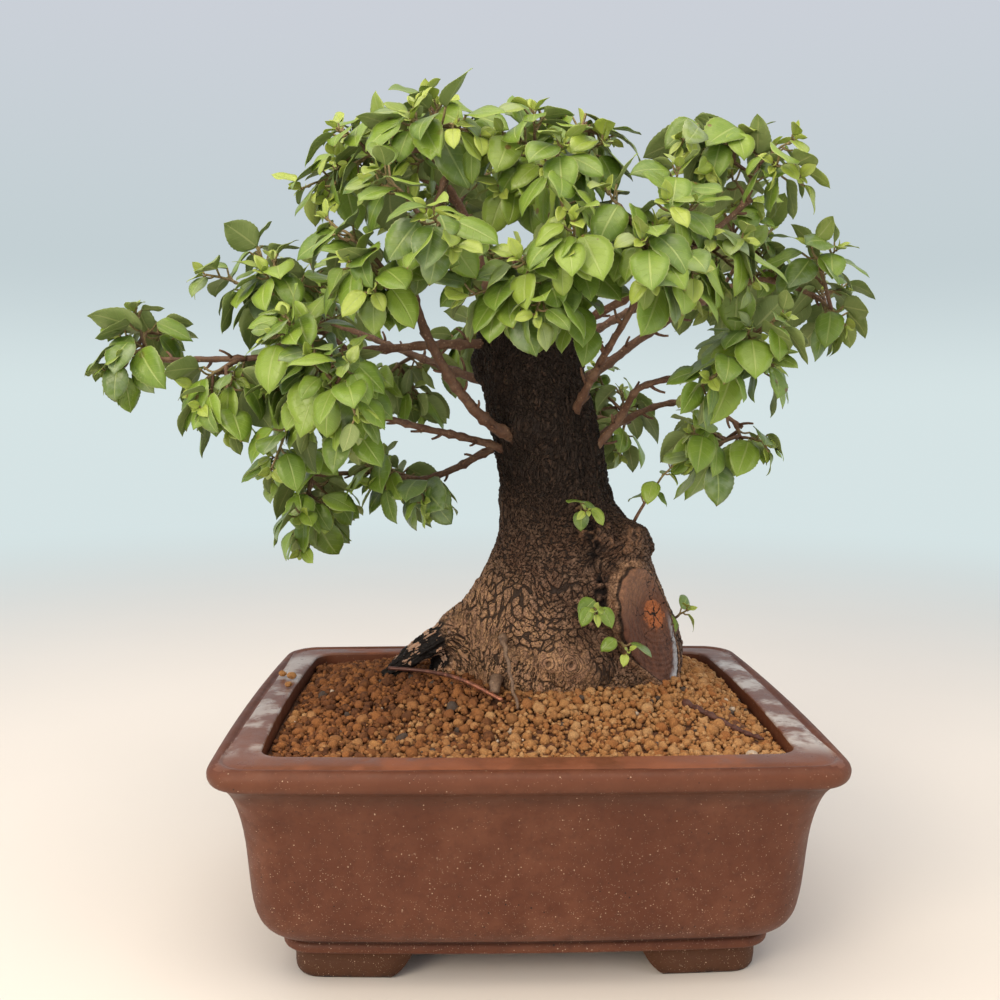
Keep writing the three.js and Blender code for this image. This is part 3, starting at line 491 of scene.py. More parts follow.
def makeClay(s):
    material, tree, shader = newMaterial("redBrownClay")
    where = place(tree)
    x, y, z = axes(tree, place(tree, (1, 1, 1), "potPlace"))
    colour = mix(tree, use(tree, mottle, where, Scale=0.022, Low=0.3, High=0.75), s["body"], s["pink"])
    colour = mix(tree, use(tree, mottle, where, Scale=0.07, Low=0.42, High=0.72), colour, s["body"])
    colour = paint(tree, colour, s["dark"], use(tree, mottle, where, Scale=0.25, Low=0.45, High=0.75), 0.35)
    # lip edge a little lighter, painted shade in the hollow under it, and the base band and feet olive brown
    edge = times(tree, rise(tree, z, lipLow - 1, lipLow + 3), rise(tree, z, pot["tall"] + 0.3, pot["tall"] - 4))
    colour = paint(tree, colour, s["pink"], edge, 0.45)
    # painted shade: the hollow under the lip takes the band colour
    under = times(tree, rise(tree, z, lipLow - 13, lipLow - 3), rise(tree, z, lipLow + 1, lipLow - 1))
    colour = paint(tree, colour, s["band"], under, 0.55)
    line = times(tree, rise(tree, attribute(tree, "rimLine"), 0.35, 0.9), 0.55)
    colour = mix(tree, line, colour, s["dark"])
    # darker in the groove above the base band
    groove = times(tree, rise(tree, z, bandTop - 1.6, bandTop + 0.2), rise(tree, z, bandTop + 4, bandTop + 1.6))
    colour = paint(tree, colour, s["grit"], groove, 0.6)
    low = rise(tree, z, pot["foot"] + 1, pot["foot"] - 3)
    colour = paint(tree, colour, s["foot"], low, 0.75)
    dusty = times(tree, rise(tree, z, 4, 0.5), use(tree, mottle, where, Scale=0.3, Low=0.45, High=0.62))
    colour = paint(tree, colour, s["grit"], dusty, 0.8)
    # pale flecks, thicker towards the foot, and a few dark ones
    more = rise(tree, z, 105, 15, 0.07, 0.26)
    colour = paint(tree, colour, s["fleck"], use(tree, speckle, where, Scale=0.85, Size=0.26, Amount=more), 0.85)
    colour = paint(tree, colour, s["fleck"], use(tree, speckle, where, Scale=1.9, Size=0.34, Amount=more), 0.55)
    colour = mix(tree, use(tree, speckle, where, Scale=0.5, Size=0.25, Amount=0.05), colour, s["grit"])
    # the shelf of the rim: damp and shiny, with a painted reflection of the sky at the left and right
    shelf = rise(tree, attribute(tree, "shelf"), 0.35, 0.75)
    colour = paint(tree, colour, s["shelf"], shelf, rise(tree, noise(tree, where, 0.06, 4), 0.3, 0.7, 0.55, 0.95))
    ends = rise(tree, calc(tree, "ABSOLUTE", x), 96, 132)
    cloud = use(tree, mottle, where, Scale=0.035, Low=0.30, High=0.62)
    damp = times(tree, shelf, rise(tree, plus(tree, ends, cloud), 0.55, 1.1))
    colour = paint(tree, colour, s["wet"], damp, 0.45)
    # painted reflection: pale sky colour painted on the shelf's left and right ends, stronger on the right
    sides = times(tree, ends, rise(tree, calc(tree, "ABSOLUTE", y), 104, 78))
    paintedReflection = times(tree, shelf, sides, use(tree, mottle, where, Scale=0.045, Low=0.42, High=0.58))
    colour = paint(tree, colour, s["skyReflection"], paintedReflection, rise(tree, x, -60, 60, 0.62, 0.86))
    put(tree, shader["Base Color"], colour)
    grain = noise(tree, where, 0.9, 5, 0.65)
    dull = rise(tree, noise(tree, where, 0.12, 4), 0.3, 0.7, 0.46, 0.60)
    shine = calc(tree, "SUBTRACT", dull, times(tree, damp, 0.20))
    put(tree, shader["Roughness"], plus(tree, shine, times(tree, low, 0.12)))
    shader["Specular IOR Level"].default_value = 0.3
    soft = bump(tree, noise(tree, where, 0.05, 3), 0.25, 1.2)
    put(tree, shader["Normal"], bump(tree, grain, 0.35, 0.25, soft))
    return material


potMesh = makePot()
potPoints = pointsOf(potMesh)
setValues(potMesh, "potPlace", potPoints)
fromEdge = np.minimum(pot["wide"] / 2 - np.abs(potPoints[:, 0]), pot["deep"] / 2 - np.abs(potPoints[:, 1]))
setValues(potMesh, "rimLine", np.exp(-((fromEdge - 6.9) / 0.8) ** 2) * (potPoints[:, 2] > pot["tall"] - 2.5))
setValues(potMesh, "shelf", (potPoints[:, 2] > pot["tall"] - 1.6) & (fromEdge > 5.6))
addPiece("clay_pot", potMesh, [makeClay(claySettings)], "clay", "pot")
print("pot made:", len(potMesh.polygons), "faces")


trunk = {"voxel": 0.7, "smoothing": 28, "axis": (20, 25), "heart": (7.5, 5.5), "plate": 4.5, "crack": 0.165,
         "cut": (72, -4, soilEdge + 47), "turn": (-0.08, -0.38, 0.83), "cutHalf": (18.5, 37),
         "fineFlake": (1 / 1.9, 1 / 1.9, 1 / 4.6), "longFissure": (1 / 2.6, 1 / 2.6, 1 / 13),
         # how far each effect moves the surface
         "lump": 1.8, "lumpHigh": 1.3, "ribHigh": 2.2, "furrow": 1.5, "callusTall": 2.3, "rootFlare": 6.5,
         "plateDeep": 0.85, "fissureDeep": 0.7, "creviceDeep": 4.2, "knotTall": 3.4, "splinterTall": 3.6,
         "charDeep": 3.4, "sawMark": 0.18, "splitDeep": 0.8, "grit": 0.4,
         # places on the front, x and z, and each burl's reach
         "burls": [(14, 141, 5), (26.5, 140, 9), (39, 211, 6), (64, 210, 7), (45, 151, 6)],
         "crevice": [(33, 216), (39, 201), (42, 189), (46, 172)], "knot": [(38, 213), (52, 209), (65, 208)],
         "deadRoot": [(-20, 24, 150), (-52, 20, 141), (-70, 19, 128), (-89, 26, 112)],
         "sucker": [(-11, -16, 154), (-10, -24, 150), (-8, -31, 142), (-6, -37, 131), (-3, -41, 121)],
         "stub": [(-14, -18, 131), (-15, -24, 129.5), (-15.5, -28, 126)]}


def cutFrame():
    turn = (Matrix.Rotation(trunk["turn"][2], 3, "Z") @ Matrix.Rotation(trunk["turn"][1], 3, "Y")
            @ Matrix.Rotation(trunk["turn"][0], 3, "X"))
    return np.array(turn)  # columns: across the cut, into the wood, along the cut


def nearLine(p, line):  # distance to a line of points, and how far along it
    best, share = np.full(len(p), 1e9), np.zeros(len(p))
    for i in range(len(line) - 1):
        a, b = np.array(line[i], float), np.array(line[i + 1], float)
        t = np.clip((p - a) @ (b - a) / np.dot(b - a, b - a), 0, 1)
        d = np.linalg.norm(p - a - t[:, None] * (b - a), axis=1)
        share = np.where(d < best, (i + t) / (len(line) - 1), share)
        best = np.minimum(best, d)
    return best, share


def cutMasks(local):  # the sawn face, the swollen rim round it, and the chalky part at its lower right
    halfX, halfZ = trunk["cutHalf"]
    along = local[:, 2] / halfZ
    across = local[:, 0] / (halfX * (1 + 0.24 * np.clip(along, -1, 1)))
    outer = np.hypot(across, along) + 0.05 * cloudNoise(np.stack([across * 2, along * 2, along * 0], axis=1), 2, 3)
    onCut = ease(1.0, 0.93, outer) * ease(10, 5, local[:, 1]) * ease(-12, -8, local[:, 1])
    callus = np.exp(-((outer - 1.03) / 0.11) ** 2) * ease(13, 4, local[:, 1]) * ease(-14, -8, local[:, 1])
    return onCut, callus, ease(0.78, 0.92, outer) * (across > 0) * ease(0.1, -0.35, along)


def sawRelief(p, local):  # distance from the heart, and the shallow rings and splits that run out of it
    heart = np.stack([local[:, 0] - trunk["heart"][0], local[:, 2] - trunk["heart"][1]], axis=1)
    fromHeart = np.hypot(heart[:, 0] * 1.1, heart[:, 1] * 0.9)
    turn = np.arctan2(heart[:, 1], heart[:, 0])
    split = np.abs(np.sin(turn * 4.5 + cloudNoise(p / 12, 2, 71)))
    near, far = ease(0.13, 0.0, split) * ease(14, 4, fromHeart), ease(0.05, 0.0, split) * ease(34, 10, fromHeart)
    rings = trunk["sawMark"] * np.sin(fromHeart * 2.2 + cloudNoise(p / 5, 2, 73))
    return fromHeart, rings + 0.7 * cloudNoise(p / 7, 3, 79) - trunk["splitDeep"] * (near + far * 0.8)


def barkRelief(p, flow, warp, high, smoothFoot):  # mosaic of small plates, with long fissures in the tan bark
    size = trunk["plate"] * (1 + 0.30 * cloudNoise(p / 30, 2, 47) - 0.34 * high)
    edge, plate = plates((p + warp) / np.stack([size, size, size * 1.12], axis=1), 3)
    crack = ease(trunk["crack"], 0.02, edge) * (1 - 0.85 * smoothFoot)
    flake, flakeTone = plates(flow * trunk["fineFlake"] + 50, 9)
    fine = ease(0.22, 0.02, flake)
    ridge = np.abs(cloudNoise(flow * trunk["longFissure"], 3, 61))
    ridgeTwo = np.abs(cloudNoise(flow * (1 / 5.5, 1 / 5.5, 1 / 7) + 9, 2, 67))
    fissure = np.maximum(ease(0.050, 0.005, ridge) * smoothFoot, ease(0.045, 0.005, ridgeTwo) * smoothFoot)
    bark = trunk["plateDeep"] * (1 - 0.8 * smoothFoot) * ((1 - crack) * (0.6 + 0.45 * plate) - 0.7)
    bark += ((0.12 + 0.45 * high) * ((1 - fine) * (0.3 + flakeTone) - 0.5) * (1 - 0.6 * smoothFoot)
             - trunk["fissureDeep"] * fissure)
    return bark, np.maximum(crack, fissure), plate * 0.6 + flakeTone * 0.4


def burlRelief(p, onFace):  # grain that swirls round the eye of each burl
    swirl, calm, eye, eyeNear = np.zeros(len(p)), np.ones(len(p)), np.full(len(p), 99.0), np.zeros(len(p))
    for x, z, reach in trunk["burls"]:
        off = p - onFace(x, z)
        r = np.linalg.norm(off, axis=1)
        near = np.exp(-(r / reach) ** 2)
        ring = np.sin(r * 3.3 + np.arctan2(off[:, 2], off[:, 0]) + 2.4 * cloudNoise(p / 6, 2, 53))
        eye, eyeNear = np.minimum(eye, r), np.maximum(eyeNear, near)
        swirl += near * (1.3 + 0.45 * ring) - 1.6 * np.exp(-(r / 1.8) ** 2)
        calm *= 1 - 0.85 * near
    return swirl, calm, eye, eyeNear


def makeTrunk():
    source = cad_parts["trunk"].data.copy()
    source.materials.clear()
    base = shaped(source, ("REMESH", {"mode": "VOXEL", "voxel_size": trunk["voxel"] * mm}),
                  ("SMOOTH", {"factor": 0.6, "iterations": trunk["smoothing"]}))
    p = pointsOf(base)
    local = (p - np.array(trunk["cut"])) @ cutFrame()
    onCut, callus, bloom = cutMasks(local)
    fromRoot, alongRoot = nearLine(p, trunk["deadRoot"])
    dead = (ease(19, 13, fromRoot) * ease(0.16, 0.34, alongRoot + 0.10 * cloudNoise(p / 9, 2, 5))
            * ease(-14, -30, p[:, 0]))
    high = ease(180, 245, p[:, 2] + 10 * cloudNoise(p / 20, 2, 13))  # rougher, nearly black bark up here
    # tan bark at the foot, but not on its far right front, which keeps the darker brown as painted shade
    patchy = cloudNoise(p / 15, 2, 89)
    lower = ease(188, 146, p[:, 2] + 0.75 * (p[:, 0] - 5) + 12 * patchy)
    # painted shade: most of the tan is taken off the right front of the foot
    lower *= 1 - 0.7 * ease(26, 54, p[:, 0]) * ease(10, -10, p[:, 1])
    smoothFoot = ease(154, 134, p[:, 2] + 0.30 * (p[:, 0] - 5) + 9 * patchy) * ease(60, 22, p[:, 0])

    def onFace(x, z):  # the front of the trunk at this place
        close = np.hypot(p[:, 0] - x, p[:, 2] - z) < 2
        return np.array((x, p[close, 1].min() if close.any() else -30.0, z))

    # wood flows up the trunk and out along the roots
    away = p[:, :2] - np.array(trunk["axis"])
    radius = np.hypot(away[:, 0], away[:, 1])
    flow = np.concatenate([away / np.maximum(radius, 1)[:, None] * 40, (p[:, 2] - 0.6 * radius)[:, None]], axis=1)
    flow += 2.6 * np.stack([cloudNoise(p / 13, 2, 31 + k) for k in range(3)], axis=1)
    # lumps and furrows
    bare = 1 - onCut
    move = (trunk["lump"] * cloudNoise(p / 17, 3, 11) * bare + trunk["lumpHigh"] * high * cloudNoise(p / 7, 2, 17)
            + trunk["callusTall"] * callus)
    move += trunk["ribHigh"] * high * cloudNoise(flow * (1 / 3.4, 1 / 3.4, 1 / 15), 2, 29) * bare
    move += (trunk["furrow"] * cloudNoise(flow * (1 / 7, 1 / 7, 1 / 34), 2, 23) * bare
             * (0.5 + 0.5 * ease(100, 20, p[:, 2] - soilEdge)))
    # root flares at the back
    around = np.arctan2(away[:, 1], away[:, 0])
    flare = ease(46, 2, p[:, 2] - soilEdge) ** 1.5 * ease(34, 62, p[:, 1]) * ease(-30, -5, p[:, 0])
    move += trunk["rootFlare"] * flare * np.cos(around * 6 + 0.8 + 0.8 * cloudNoise(p / 22, 2, 97))
    # bark and burls
    warp = np.stack([cloudNoise(p / 6, 2, 41 + k) for k in range(3)], axis=1) * 2.2
    bark, crack, plate = barkRelief(p, flow, warp, high, smoothFoot)
    swirl, calm, eye, eyeNear = burlRelief(p, onFace)
    move += (bark * calm + swirl) * bare * (1 - 0.7 * dead)
    # dark crevice between the trunk and the old stub, and twisted knots beside it; the crevice's dark colour is painted
    # shade
    hollow, _ = nearLine(p, [onFace(x, z) for x, z in trunk["crevice"]])
    pit = np.clip(np.exp(-(hollow / 6) ** 2) * (0.8 + 1.2 * cloudNoise(p / 3.2, 2, 57)), 0, 1)
    knot = np.exp(-(nearLine(p, [onFace(x, z) for x, z in trunk["knot"]])[0] / 10) ** 2)
    twist = np.abs(cloudNoise((p + 3 * warp) / (3.2, 3.2, 7.5), 2, 59))
    move += knot * (trunk["knotTall"] * twist - 0.8) - trunk["creviceDeep"] * pit
    # charred root: splintered lengthwise
    grain = np.stack([p @ np.array([0.86, -0.1, 0.5]) / 14, p[:, 1] / 2.6, (p[:, 2] - 0.5 * p[:, 0]) / 2.6], axis=1)
    splinter = np.abs(cloudNoise(grain, 3, 63))
    move += dead * (trunk["splinterTall"] * splinter - trunk["charDeep"]
                    + 2.4 * cloudNoise(p / 2.8, 2, 69) * ease(0.45, 0.75, alongRoot))
    # sawn face, then fine roughness all over
    fromHeart, sawMarks = sawRelief(p, local)
    move += onCut * sawMarks
    move += trunk["grit"] * cloudNoise(p / 1.6, 2, 83) * (1 - 0.6 * onCut)
    aboveSoil = ease(soilEdge - 6, soilEdge + 2, p[:, 2])
    p += vectorsOf(base.vertex_normals, "vector") * (move * aboveSoil)[:, None]
    base.vertices.foreach_set("co", ((p * mm) + potMiddle).astype(np.float32).ravel())
    base.update()
    base.polygons.foreach_set("use_smooth", np.ones(len(base.polygons), bool))
    for name, data in {
            "crack": np.clip(crack * calm * bare, 0, 1), "plate": plate, "flowPlace": flow, "smoothFoot": smoothFoot,
            "upper": high, "lower": lower, "eye": eye, "eyeNear": eyeNear, "knot": knot * bare, "knotEdge": twist,
            "pit": pit, "deadWood": dead, "peeled": dead * ease(0.74, 0.58, alongRoot) * ease(0.10, 0.22, splinter),
            "sawn": onCut, "callus": callus * bare, "heartwood": fromHeart, "cutPlace": local, "bloom": bloom,
            "dusty": ease(soilEdge + 30, soilEdge + 10, p[:, 2])}.items():
        setValues(base, name, data)
    return base


barkSettings = {"dark": (0.016, 0.008, 0.005), "brown": (0.140, 0.073, 0.043), "grey": (0.300, 0.178, 0.115),
                "tan": (0.68, 0.385, 0.200), "rosy": (0.50, 0.275, 0.165), "upper": (0.030, 0.017, 0.011),
                "upperTop": (0.088, 0.048, 0.030), "reddish": (0.165, 0.066, 0.034), "char": (0.010, 0.007, 0.006),
                "peeled": (0.50, 0.36, 0.28), "sapwood": (0.095, 0.040, 0.026), "sawnTop": (0.30, 0.150, 0.085),
                "heart": (0.46, 0.140, 0.045), "ring": (0.170, 0.070, 0.042), "rim": (0.40, 0.225, 0.130),
                "bloom": (0.46, 0.48, 0.52), "split": (0.010, 0.005, 0.004), "dust": (0.42, 0.21, 0.08),
                "twisted": (0.27, 0.140, 0.078)}


# orange heart with cracks running out of it, purple brown round it, lighter at the top, chalky at the lower right
def sawnWood(tree, s, where, fine, grainy):
    across, _, along = axes(tree, place(tree, (1, 1, 1), "cutPlace"))
    fromX, fromZ = calc(tree, "SUBTRACT", across, trunk["heart"][0]), calc(tree, "SUBTRACT", along, trunk["heart"][1])
    reach = attribute(tree, "heartwood")
    fibre = noise(tree, place(tree, (1, 1, 0.35), "cutPlace"), 0.5, 5)
    wood = mix(tree, rise(tree, fibre, 0.3, 0.7), s["sapwood"], s["ring"])
    wood = paint(tree, wood, s["sawnTop"], rise(tree, along, 8, 30), rise(tree, fine, 0.35, 0.65, 0.3, 1.0))
    fromHeart = plus(tree, reach, rise(tree, noise(tree, where, 0.35, 4, 0.65), 0.3, 0.7, -1.6, 1.6))
    wood = mix(tree, rise(tree, fromHeart, 18, 7, 0.0, 0.5), wood, s["reddish"])
    glow = mix(tree, rise(tree, grainy, 0.30, 0.5), s["reddish"], s["heart"])
    wood = mix(tree, rise(tree, fromHeart, 9.4, 6.4), wood, glow)
    turn = calc(tree, "ARCTAN2", fromZ, fromX)
    spokes = plus(tree, times(tree, turn, 2.5), rise(tree, noise(tree, where, 0.10, 4, 0.6), 0.2, 0.8, -1.5, 1.5))
    spoke = times(tree, calc(tree, "ABSOLUTE", calc(tree, "SINE", spokes)), plus(tree, reach, 0.8))
    spoke = times(tree, rise(tree, spoke, 1.5, 0.7), rise(tree, fromHeart, 30, 12))
    ringWave = calc(tree, "SINE", times(tree, fromHeart, 2.4))
    wood = paint(tree, wood, s["split"], rise(tree, ringWave, 0.5, 1.0), 0.30)
    bloom = times(tree, attribute(tree, "bloom"), rise(tree, noise(tree, where, 0.25, 5, 0.65), 0.34, 0.52))
    wood = paint(tree, wood, s["bloom"], bloom, 0.85)
    wood = mix(tree, calc(tree, "MAXIMUM", spoke, rise(tree, fromHeart, 1.8, 0.6)), wood, s["split"])
    return wood, spoke


def makeBark(s):
    material, tree, shader = newMaterial("trunkBark")
    where = place(tree)
    lower, high = attribute(tree, "lower"), attribute(tree, "upper")
    fine = noise(tree, where, 0.55, 6, 0.7)
    grainy = noise(tree, where, 1.6, 5, 0.75)
    patches = use(tree, mottle, where, Scale=0.06, Low=0.36, High=0.66)
    # middle: flat plates split by thin cracks
    seam = rise(tree, attribute(tree, "crack"), 0.22, 0.80)
    hair = times(tree, cracks(tree, warped(tree, where, 0.4, 2.0), 0.55, 0.09), 0.5)
    colour = mix(tree, rise(tree, attribute(tree, "plate"), 0.1, 0.9), s["brown"], s["grey"])
    colour = paint(tree, colour, s["reddish"], patches, 0.4)
    # foot: smoother tan bark with long thin fissures that follow the roots
    flow = warped(tree, place(tree, (1, 1, 1), "flowPlace"), 0.07, 12.0)
    streak = stretched(tree, flow, (1.0, 1.0, 0.28))
    ridge = calc(tree, "ABSOLUTE", calc(tree, "SUBTRACT", noise(tree, streak, 0.34, 3), 0.5))
    fissure = rise(tree, ridge, 0.030, 0.006)
    thin = calc(tree, "ABSOLUTE", calc(tree, "SUBTRACT", noise(tree, streak, 0.85, 2), 0.5))
    fissure = calc(tree, "MAXIMUM", fissure, times(tree, rise(tree, thin, 0.030, 0.008), 0.55))
    pale = mix(tree, rise(tree, noise(tree, streak, 0.5, 4), 0.38, 0.62), s["rosy"], s["tan"])
    pale = paint(tree, pale, s["brown"], rise(tree, fine, 0.58, 0.38), 0.40)
    # the lower mask carries the tan of the foot and the painted shade at its right front
    colour = mix(tree, lower, colour, pale)
    # top: nearly black with upright flakes
    flakeAt = warped(tree, place(tree, (1000, 1000, 300)), 0.22, 3.0)
    flake = attribute(tree, "plate")
    flakeSeam = calc(tree, "MAXIMUM", seam, times(tree, cracks(tree, flakeAt, 0.40, 0.16), 0.5))
    upper = mix(tree, times(tree, rise(tree, flake, 0.45, 1.0), rise(tree, fine, 0.3, 0.6)), s["upper"], s["upperTop"])
    colour = mix(tree, high, colour, upper)
    colour = paint(tree, colour, s["dark"], rise(tree, grainy, 0.60, 0.42), 0.35)
    # burls: fine rings round an eye
    eye, eyeNear = attribute(tree, "eye"), attribute(tree, "eyeNear")
    sway = rise(tree, noise(tree, where, 0.12, 4), 0.2, 0.8, -7, 7)
    rings = calc(tree, "SINE", plus(tree, times(tree, eye, 3.6), sway))
    ringed = rise(tree, eyeNear, 0.25, 0.55)
    rings = times(tree, calc(tree, "MAXIMUM", rise(tree, rings, 0.35, 0.95), rise(tree, eye, 1.9, 0.9)), ringed)
    split = mix(tree, attribute(tree, "smoothFoot"), calc(tree, "MAXIMUM", seam, hair),
                calc(tree, "MAXIMUM", fissure, seam))
    split = mix(tree, high, split, flakeSeam)
    split = mix(tree, times(tree, ringed, 0.85), split, times(tree, rings, 0.8))
    colour = paint(tree, colour, s["dark"], split, 0.93)
    twisted = times(tree, rise(tree, attribute(tree, "knot"), 0.25, 0.6),
                    rise(tree, attribute(tree, "knotEdge"), 0.10, 0.30))
    colour = paint(tree, colour, s["twisted"], twisted, 0.75)
    # painted shade: the crevice is painted nearly black
    colour = mix(tree, rise(tree, attribute(tree, "pit"), 0.2, 0.7, 0.0, 0.96), colour, s["split"])
    dusty = times(tree, attribute(tree, "dusty"), rise(tree, noise(tree, where, 0.7, 4, 0.7), 0.5, 0.62))
    colour = paint(tree, colour, s["dust"], dusty, 0.7)
    callus = attribute(tree, "callus")
    rim = mix(tree, rise(tree, noise(tree, where, 0.8, 5, 0.7), 0.35, 0.6), s["brown"], s["rim"])
    colour = mix(tree, rise(tree, callus, 0.25, 0.65), colour, rim)
    # charred root with peeled wood
    char = mix(tree, rise(tree, fine, 0.5, 0.75), s["char"], s["dark"])
    dead = attribute(tree, "deadWood")
    colour = mix(tree, rise(tree, dead, 0.2, 0.8), colour, char)
    bare = mix(tree, rise(tree, noise(tree, place(tree, (150, 600, 600)), 1.6, 5), 0.30, 0.62), s["peeled"], s["rosy"])
    torn = times(tree, attribute(tree, "peeled"), use(tree, mottle, where, Scale=0.13, Low=0.47, High=0.53))
    colour = mix(tree, rise(tree, torn, 0.25, 0.5), colour, bare)
    wood, spoke = sawnWood(tree, s, where, fine, grainy)
    onFace = attribute(tree, "sawn")
    outline = times(tree, rise(tree, onFace, 0.05, 0.35), rise(tree, onFace, 0.95, 0.65))
    colour = paint(tree, colour, s["split"], outline, 0.8)
    sawn = rise(tree, onFace, 0.5, 0.75)
    colour = mix(tree, sawn, colour, wood)
    put(tree, shader["Base Color"], colour)
    put(tree, shader["Roughness"], rise(tree, fine, 0.3, 0.7, 0.48, 0.82))
    shader["Specular IOR Level"].default_value = 0.3
    height = mix(tree, sawn, times(tree, split, calc(tree, "SUBTRACT", 1.0, times(tree, dead, 0.8))), spoke)
    grain = bump(tree, noise(tree, place(tree, (1000, 1000, 600)), 0.9, 6, 0.72), 0.75, 0.8)
    put(tree, shader["Normal"], bump(tree, height, 1.0, -1.3, grain))
    return material


def makeSucker():  # dead shoot that hangs down the front of the root
    heap = Heap("age")
    path = np.array([spline(trunk["sucker"], t) for t in np.linspace(0, 1, 34)])
    path += 0.5 * np.stack([np.sin(np.arange(34) * 0.9 + k) for k in range(3)], axis=1)
    radii = np.interp(np.linspace(0, 1, 34), (0, 0.08, 0.2, 1), (2.4, 2.0, 1.25, 0.7))
    heap.add(*tube(path, radii, 10, 0.35, 5), age=0.0)
    stub = [spline(trunk["stub"], t) for t in np.linspace(0, 1, 8)]
    heap.add(*tube(stub, np.linspace(3.6, 2.4, 8), 12, 0.3, 8), age=0.0)
    return meshOf("dead_sucker", heap)


addPiece("bark_trunk", makeTrunk(), [makeBark(barkSettings)], "bark", "trunk")
print("trunk made")


wire = {"route": [(-75, 10, 21.5), (-52, 2, 21.5), (-32, -15, 21), (-11.5, -34, 15.5)], "radius": 1.15, "rows": 46,
        "sides": 14, "clear": 2}
soil = {"foot": (20, 25), "mound": 14, "moundReach": (76, 48), "seed": 41, "area": (128, 98), "shapes": 16,
        "sunk": 0.18,
        # diameter from and to, how many tries, how near neighbours may be, how high above the bed, roundness
        "layers": [(5.8, 8.2, 1500, 0.78, 1.5, 2), (4.0, 5.8, 5200, 0.72, 1.5, 2), (2.4, 3.8, 9000, 0.66, 1.2, 1),
                   (1.2, 2.2, 8000, 0.8, 1.4, 1)]}


def soilHeight(x, y):
    reach = np.hypot((x - soil["foot"][0]) / soil["moundReach"][0], (y - soil["foot"][1]) / soil["moundReach"][1])
    lift = ease(0, 1, 1 - (reach - 1) / 1.4)
    toWall = np.minimum(pot["wide"] / 2 - pot["rimFlat"] - np.abs(x), pot["deep"] / 2 - pot["rimFlat"] - np.abs(y))
    return soilEdge + soil["mound"] * lift * np.clip(toWall / 22, 0, 1) + 0.5 * np.sin(x * 0.11) * np.cos(y * 0.13)


def roundBall(level):  # points and triangles of a ball made from twenty triangles
    g = (1 + math.sqrt(5)) / 2
    points = [unit(np.array(p, float)) for p in (
        (-1, g, 0), (1, g, 0), (-1, -g, 0), (1, -g, 0), (0, -1, g), (0, 1, g), (0, -1, -g), (0, 1, -g),
        (g, 0, -1), (g, 0, 1), (-g, 0, -1), (-g, 0, 1))]
    faces = [(0, 11, 5), (0, 5, 1), (0, 1, 7), (0, 7, 10), (0, 10, 11), (1, 5, 9), (5, 11, 4), (11, 10, 2), (10, 7, 6),
             (7, 1, 8), (3, 9, 4), (3, 4, 2), (3, 2, 6), (3, 6, 8), (3, 8, 9), (4, 9, 5), (2, 4, 11), (6, 2, 10),
             (8, 6, 7), (9, 8, 1)]
    for _ in range(level - 1):
        middles, finerFaces = {}, []
        for a, b, c in faces:
            corners = []
            for i, j in ((a, b), (b, c), (c, a)):
                key = (min(i, j), max(i, j))
                if key not in middles:
                    middles[key] = len(points)
                    points.append(unit(points[i] + points[j]))
                corners.append(middles[key])
            ab, bc, ca = corners
            finerFaces += [(a, ab, ca), (b, bc, ab), (c, ca, bc), (ab, bc, ca)]
        faces = finerFaces
    return np.array(points), np.array(faces)


def grainShapes(level, count, randoms):  # lumps of baked clay, broken flat in places
    points, faces = roundBall(level)
    shapes = []
    for k in range(count):
        p = points * (1 + 0.30 * cloudNoise(points * 1.1 + k * 7.3, 2, 200 + k))[:, None]
        for _ in range(7):
            flat = unit(randoms.normal(size=3))
            over = p @ flat - randoms.uniform(0.62, 0.95)
            p = p - np.clip(over, 0, None)[:, None] * flat * 0.92
        p *= randoms.uniform(0.75, 1.15, size=3)
        shapes.append(p / np.abs(p).max())
    return shapes, faces


def turned(randoms):
    q = unit(randoms.normal(size=4))
    w, x, y, z = q
    return np.array([[1 - 2 * (y * y + z * z), 2 * (x * y - z * w), 2 * (x * z + y * w)],
                     [2 * (x * y + z * w), 1 - 2 * (x * x + z * z), 2 * (y * z - x * w)],
                     [2 * (x * z - y * w), 2 * (y * z + x * w), 1 - 2 * (x * x + y * y)]])


def trunkOutline():  # how far the trunk reaches from its foot at the soil, for each degree
    p = pointsOf(bpy.data.objects["bark_trunk"].data)
    ring = p[(p[:, 2] > soilEdge + 1) & (p[:, 2] < soilEdge + 15)]
    angle = np.degrees(np.arctan2(ring[:, 1] - soil["foot"][1], ring[:, 0] - soil["foot"][0])).astype(int) % 360
    reach = np.hypot(ring[:, 1] - soil["foot"][1], ring[:, 0] - soil["foot"][0])
    far = np.zeros(360)
    np.maximum.at(far, angle, reach)
    return far


def insideMouth(x, y, gap):
    inset, _, corner = innerRow(soilEdge)
    halfX, halfY = pot["wide"] / 2 - inset - gap, pot["deep"] / 2 - inset - gap
    cornerX, cornerY = np.abs(x) - (halfX - corner), np.abs(y) - (halfY - corner)
    clearOfCorner = (cornerX < 0) | (cornerY < 0) | (np.hypot(cornerX, cornerY) < corner)
    return (np.abs(x) < halfX) & (np.abs(y) < halfY) & clearOfCorner


def wirePoint(t):
    return spline([(x, y, z + soilEdge) for x, y, z in wire["route"]], t)


def dryShare(x, y):  # drier to the right and near the walls, in soft patches
    byWall = 0.2 if min(127 - abs(x), 97 - abs(y)) < 14 else 0
    patch = float(cloudNoise(np.array([[x / 24, y / 24, 1.5]]), 2, 7)[0])
    return float(np.clip(0.47 + 0.0045 * x - 0.002 * y + 0.75 * patch + byWall + 0.5 * (wobble(x, y) - 0.5), 0, 1))


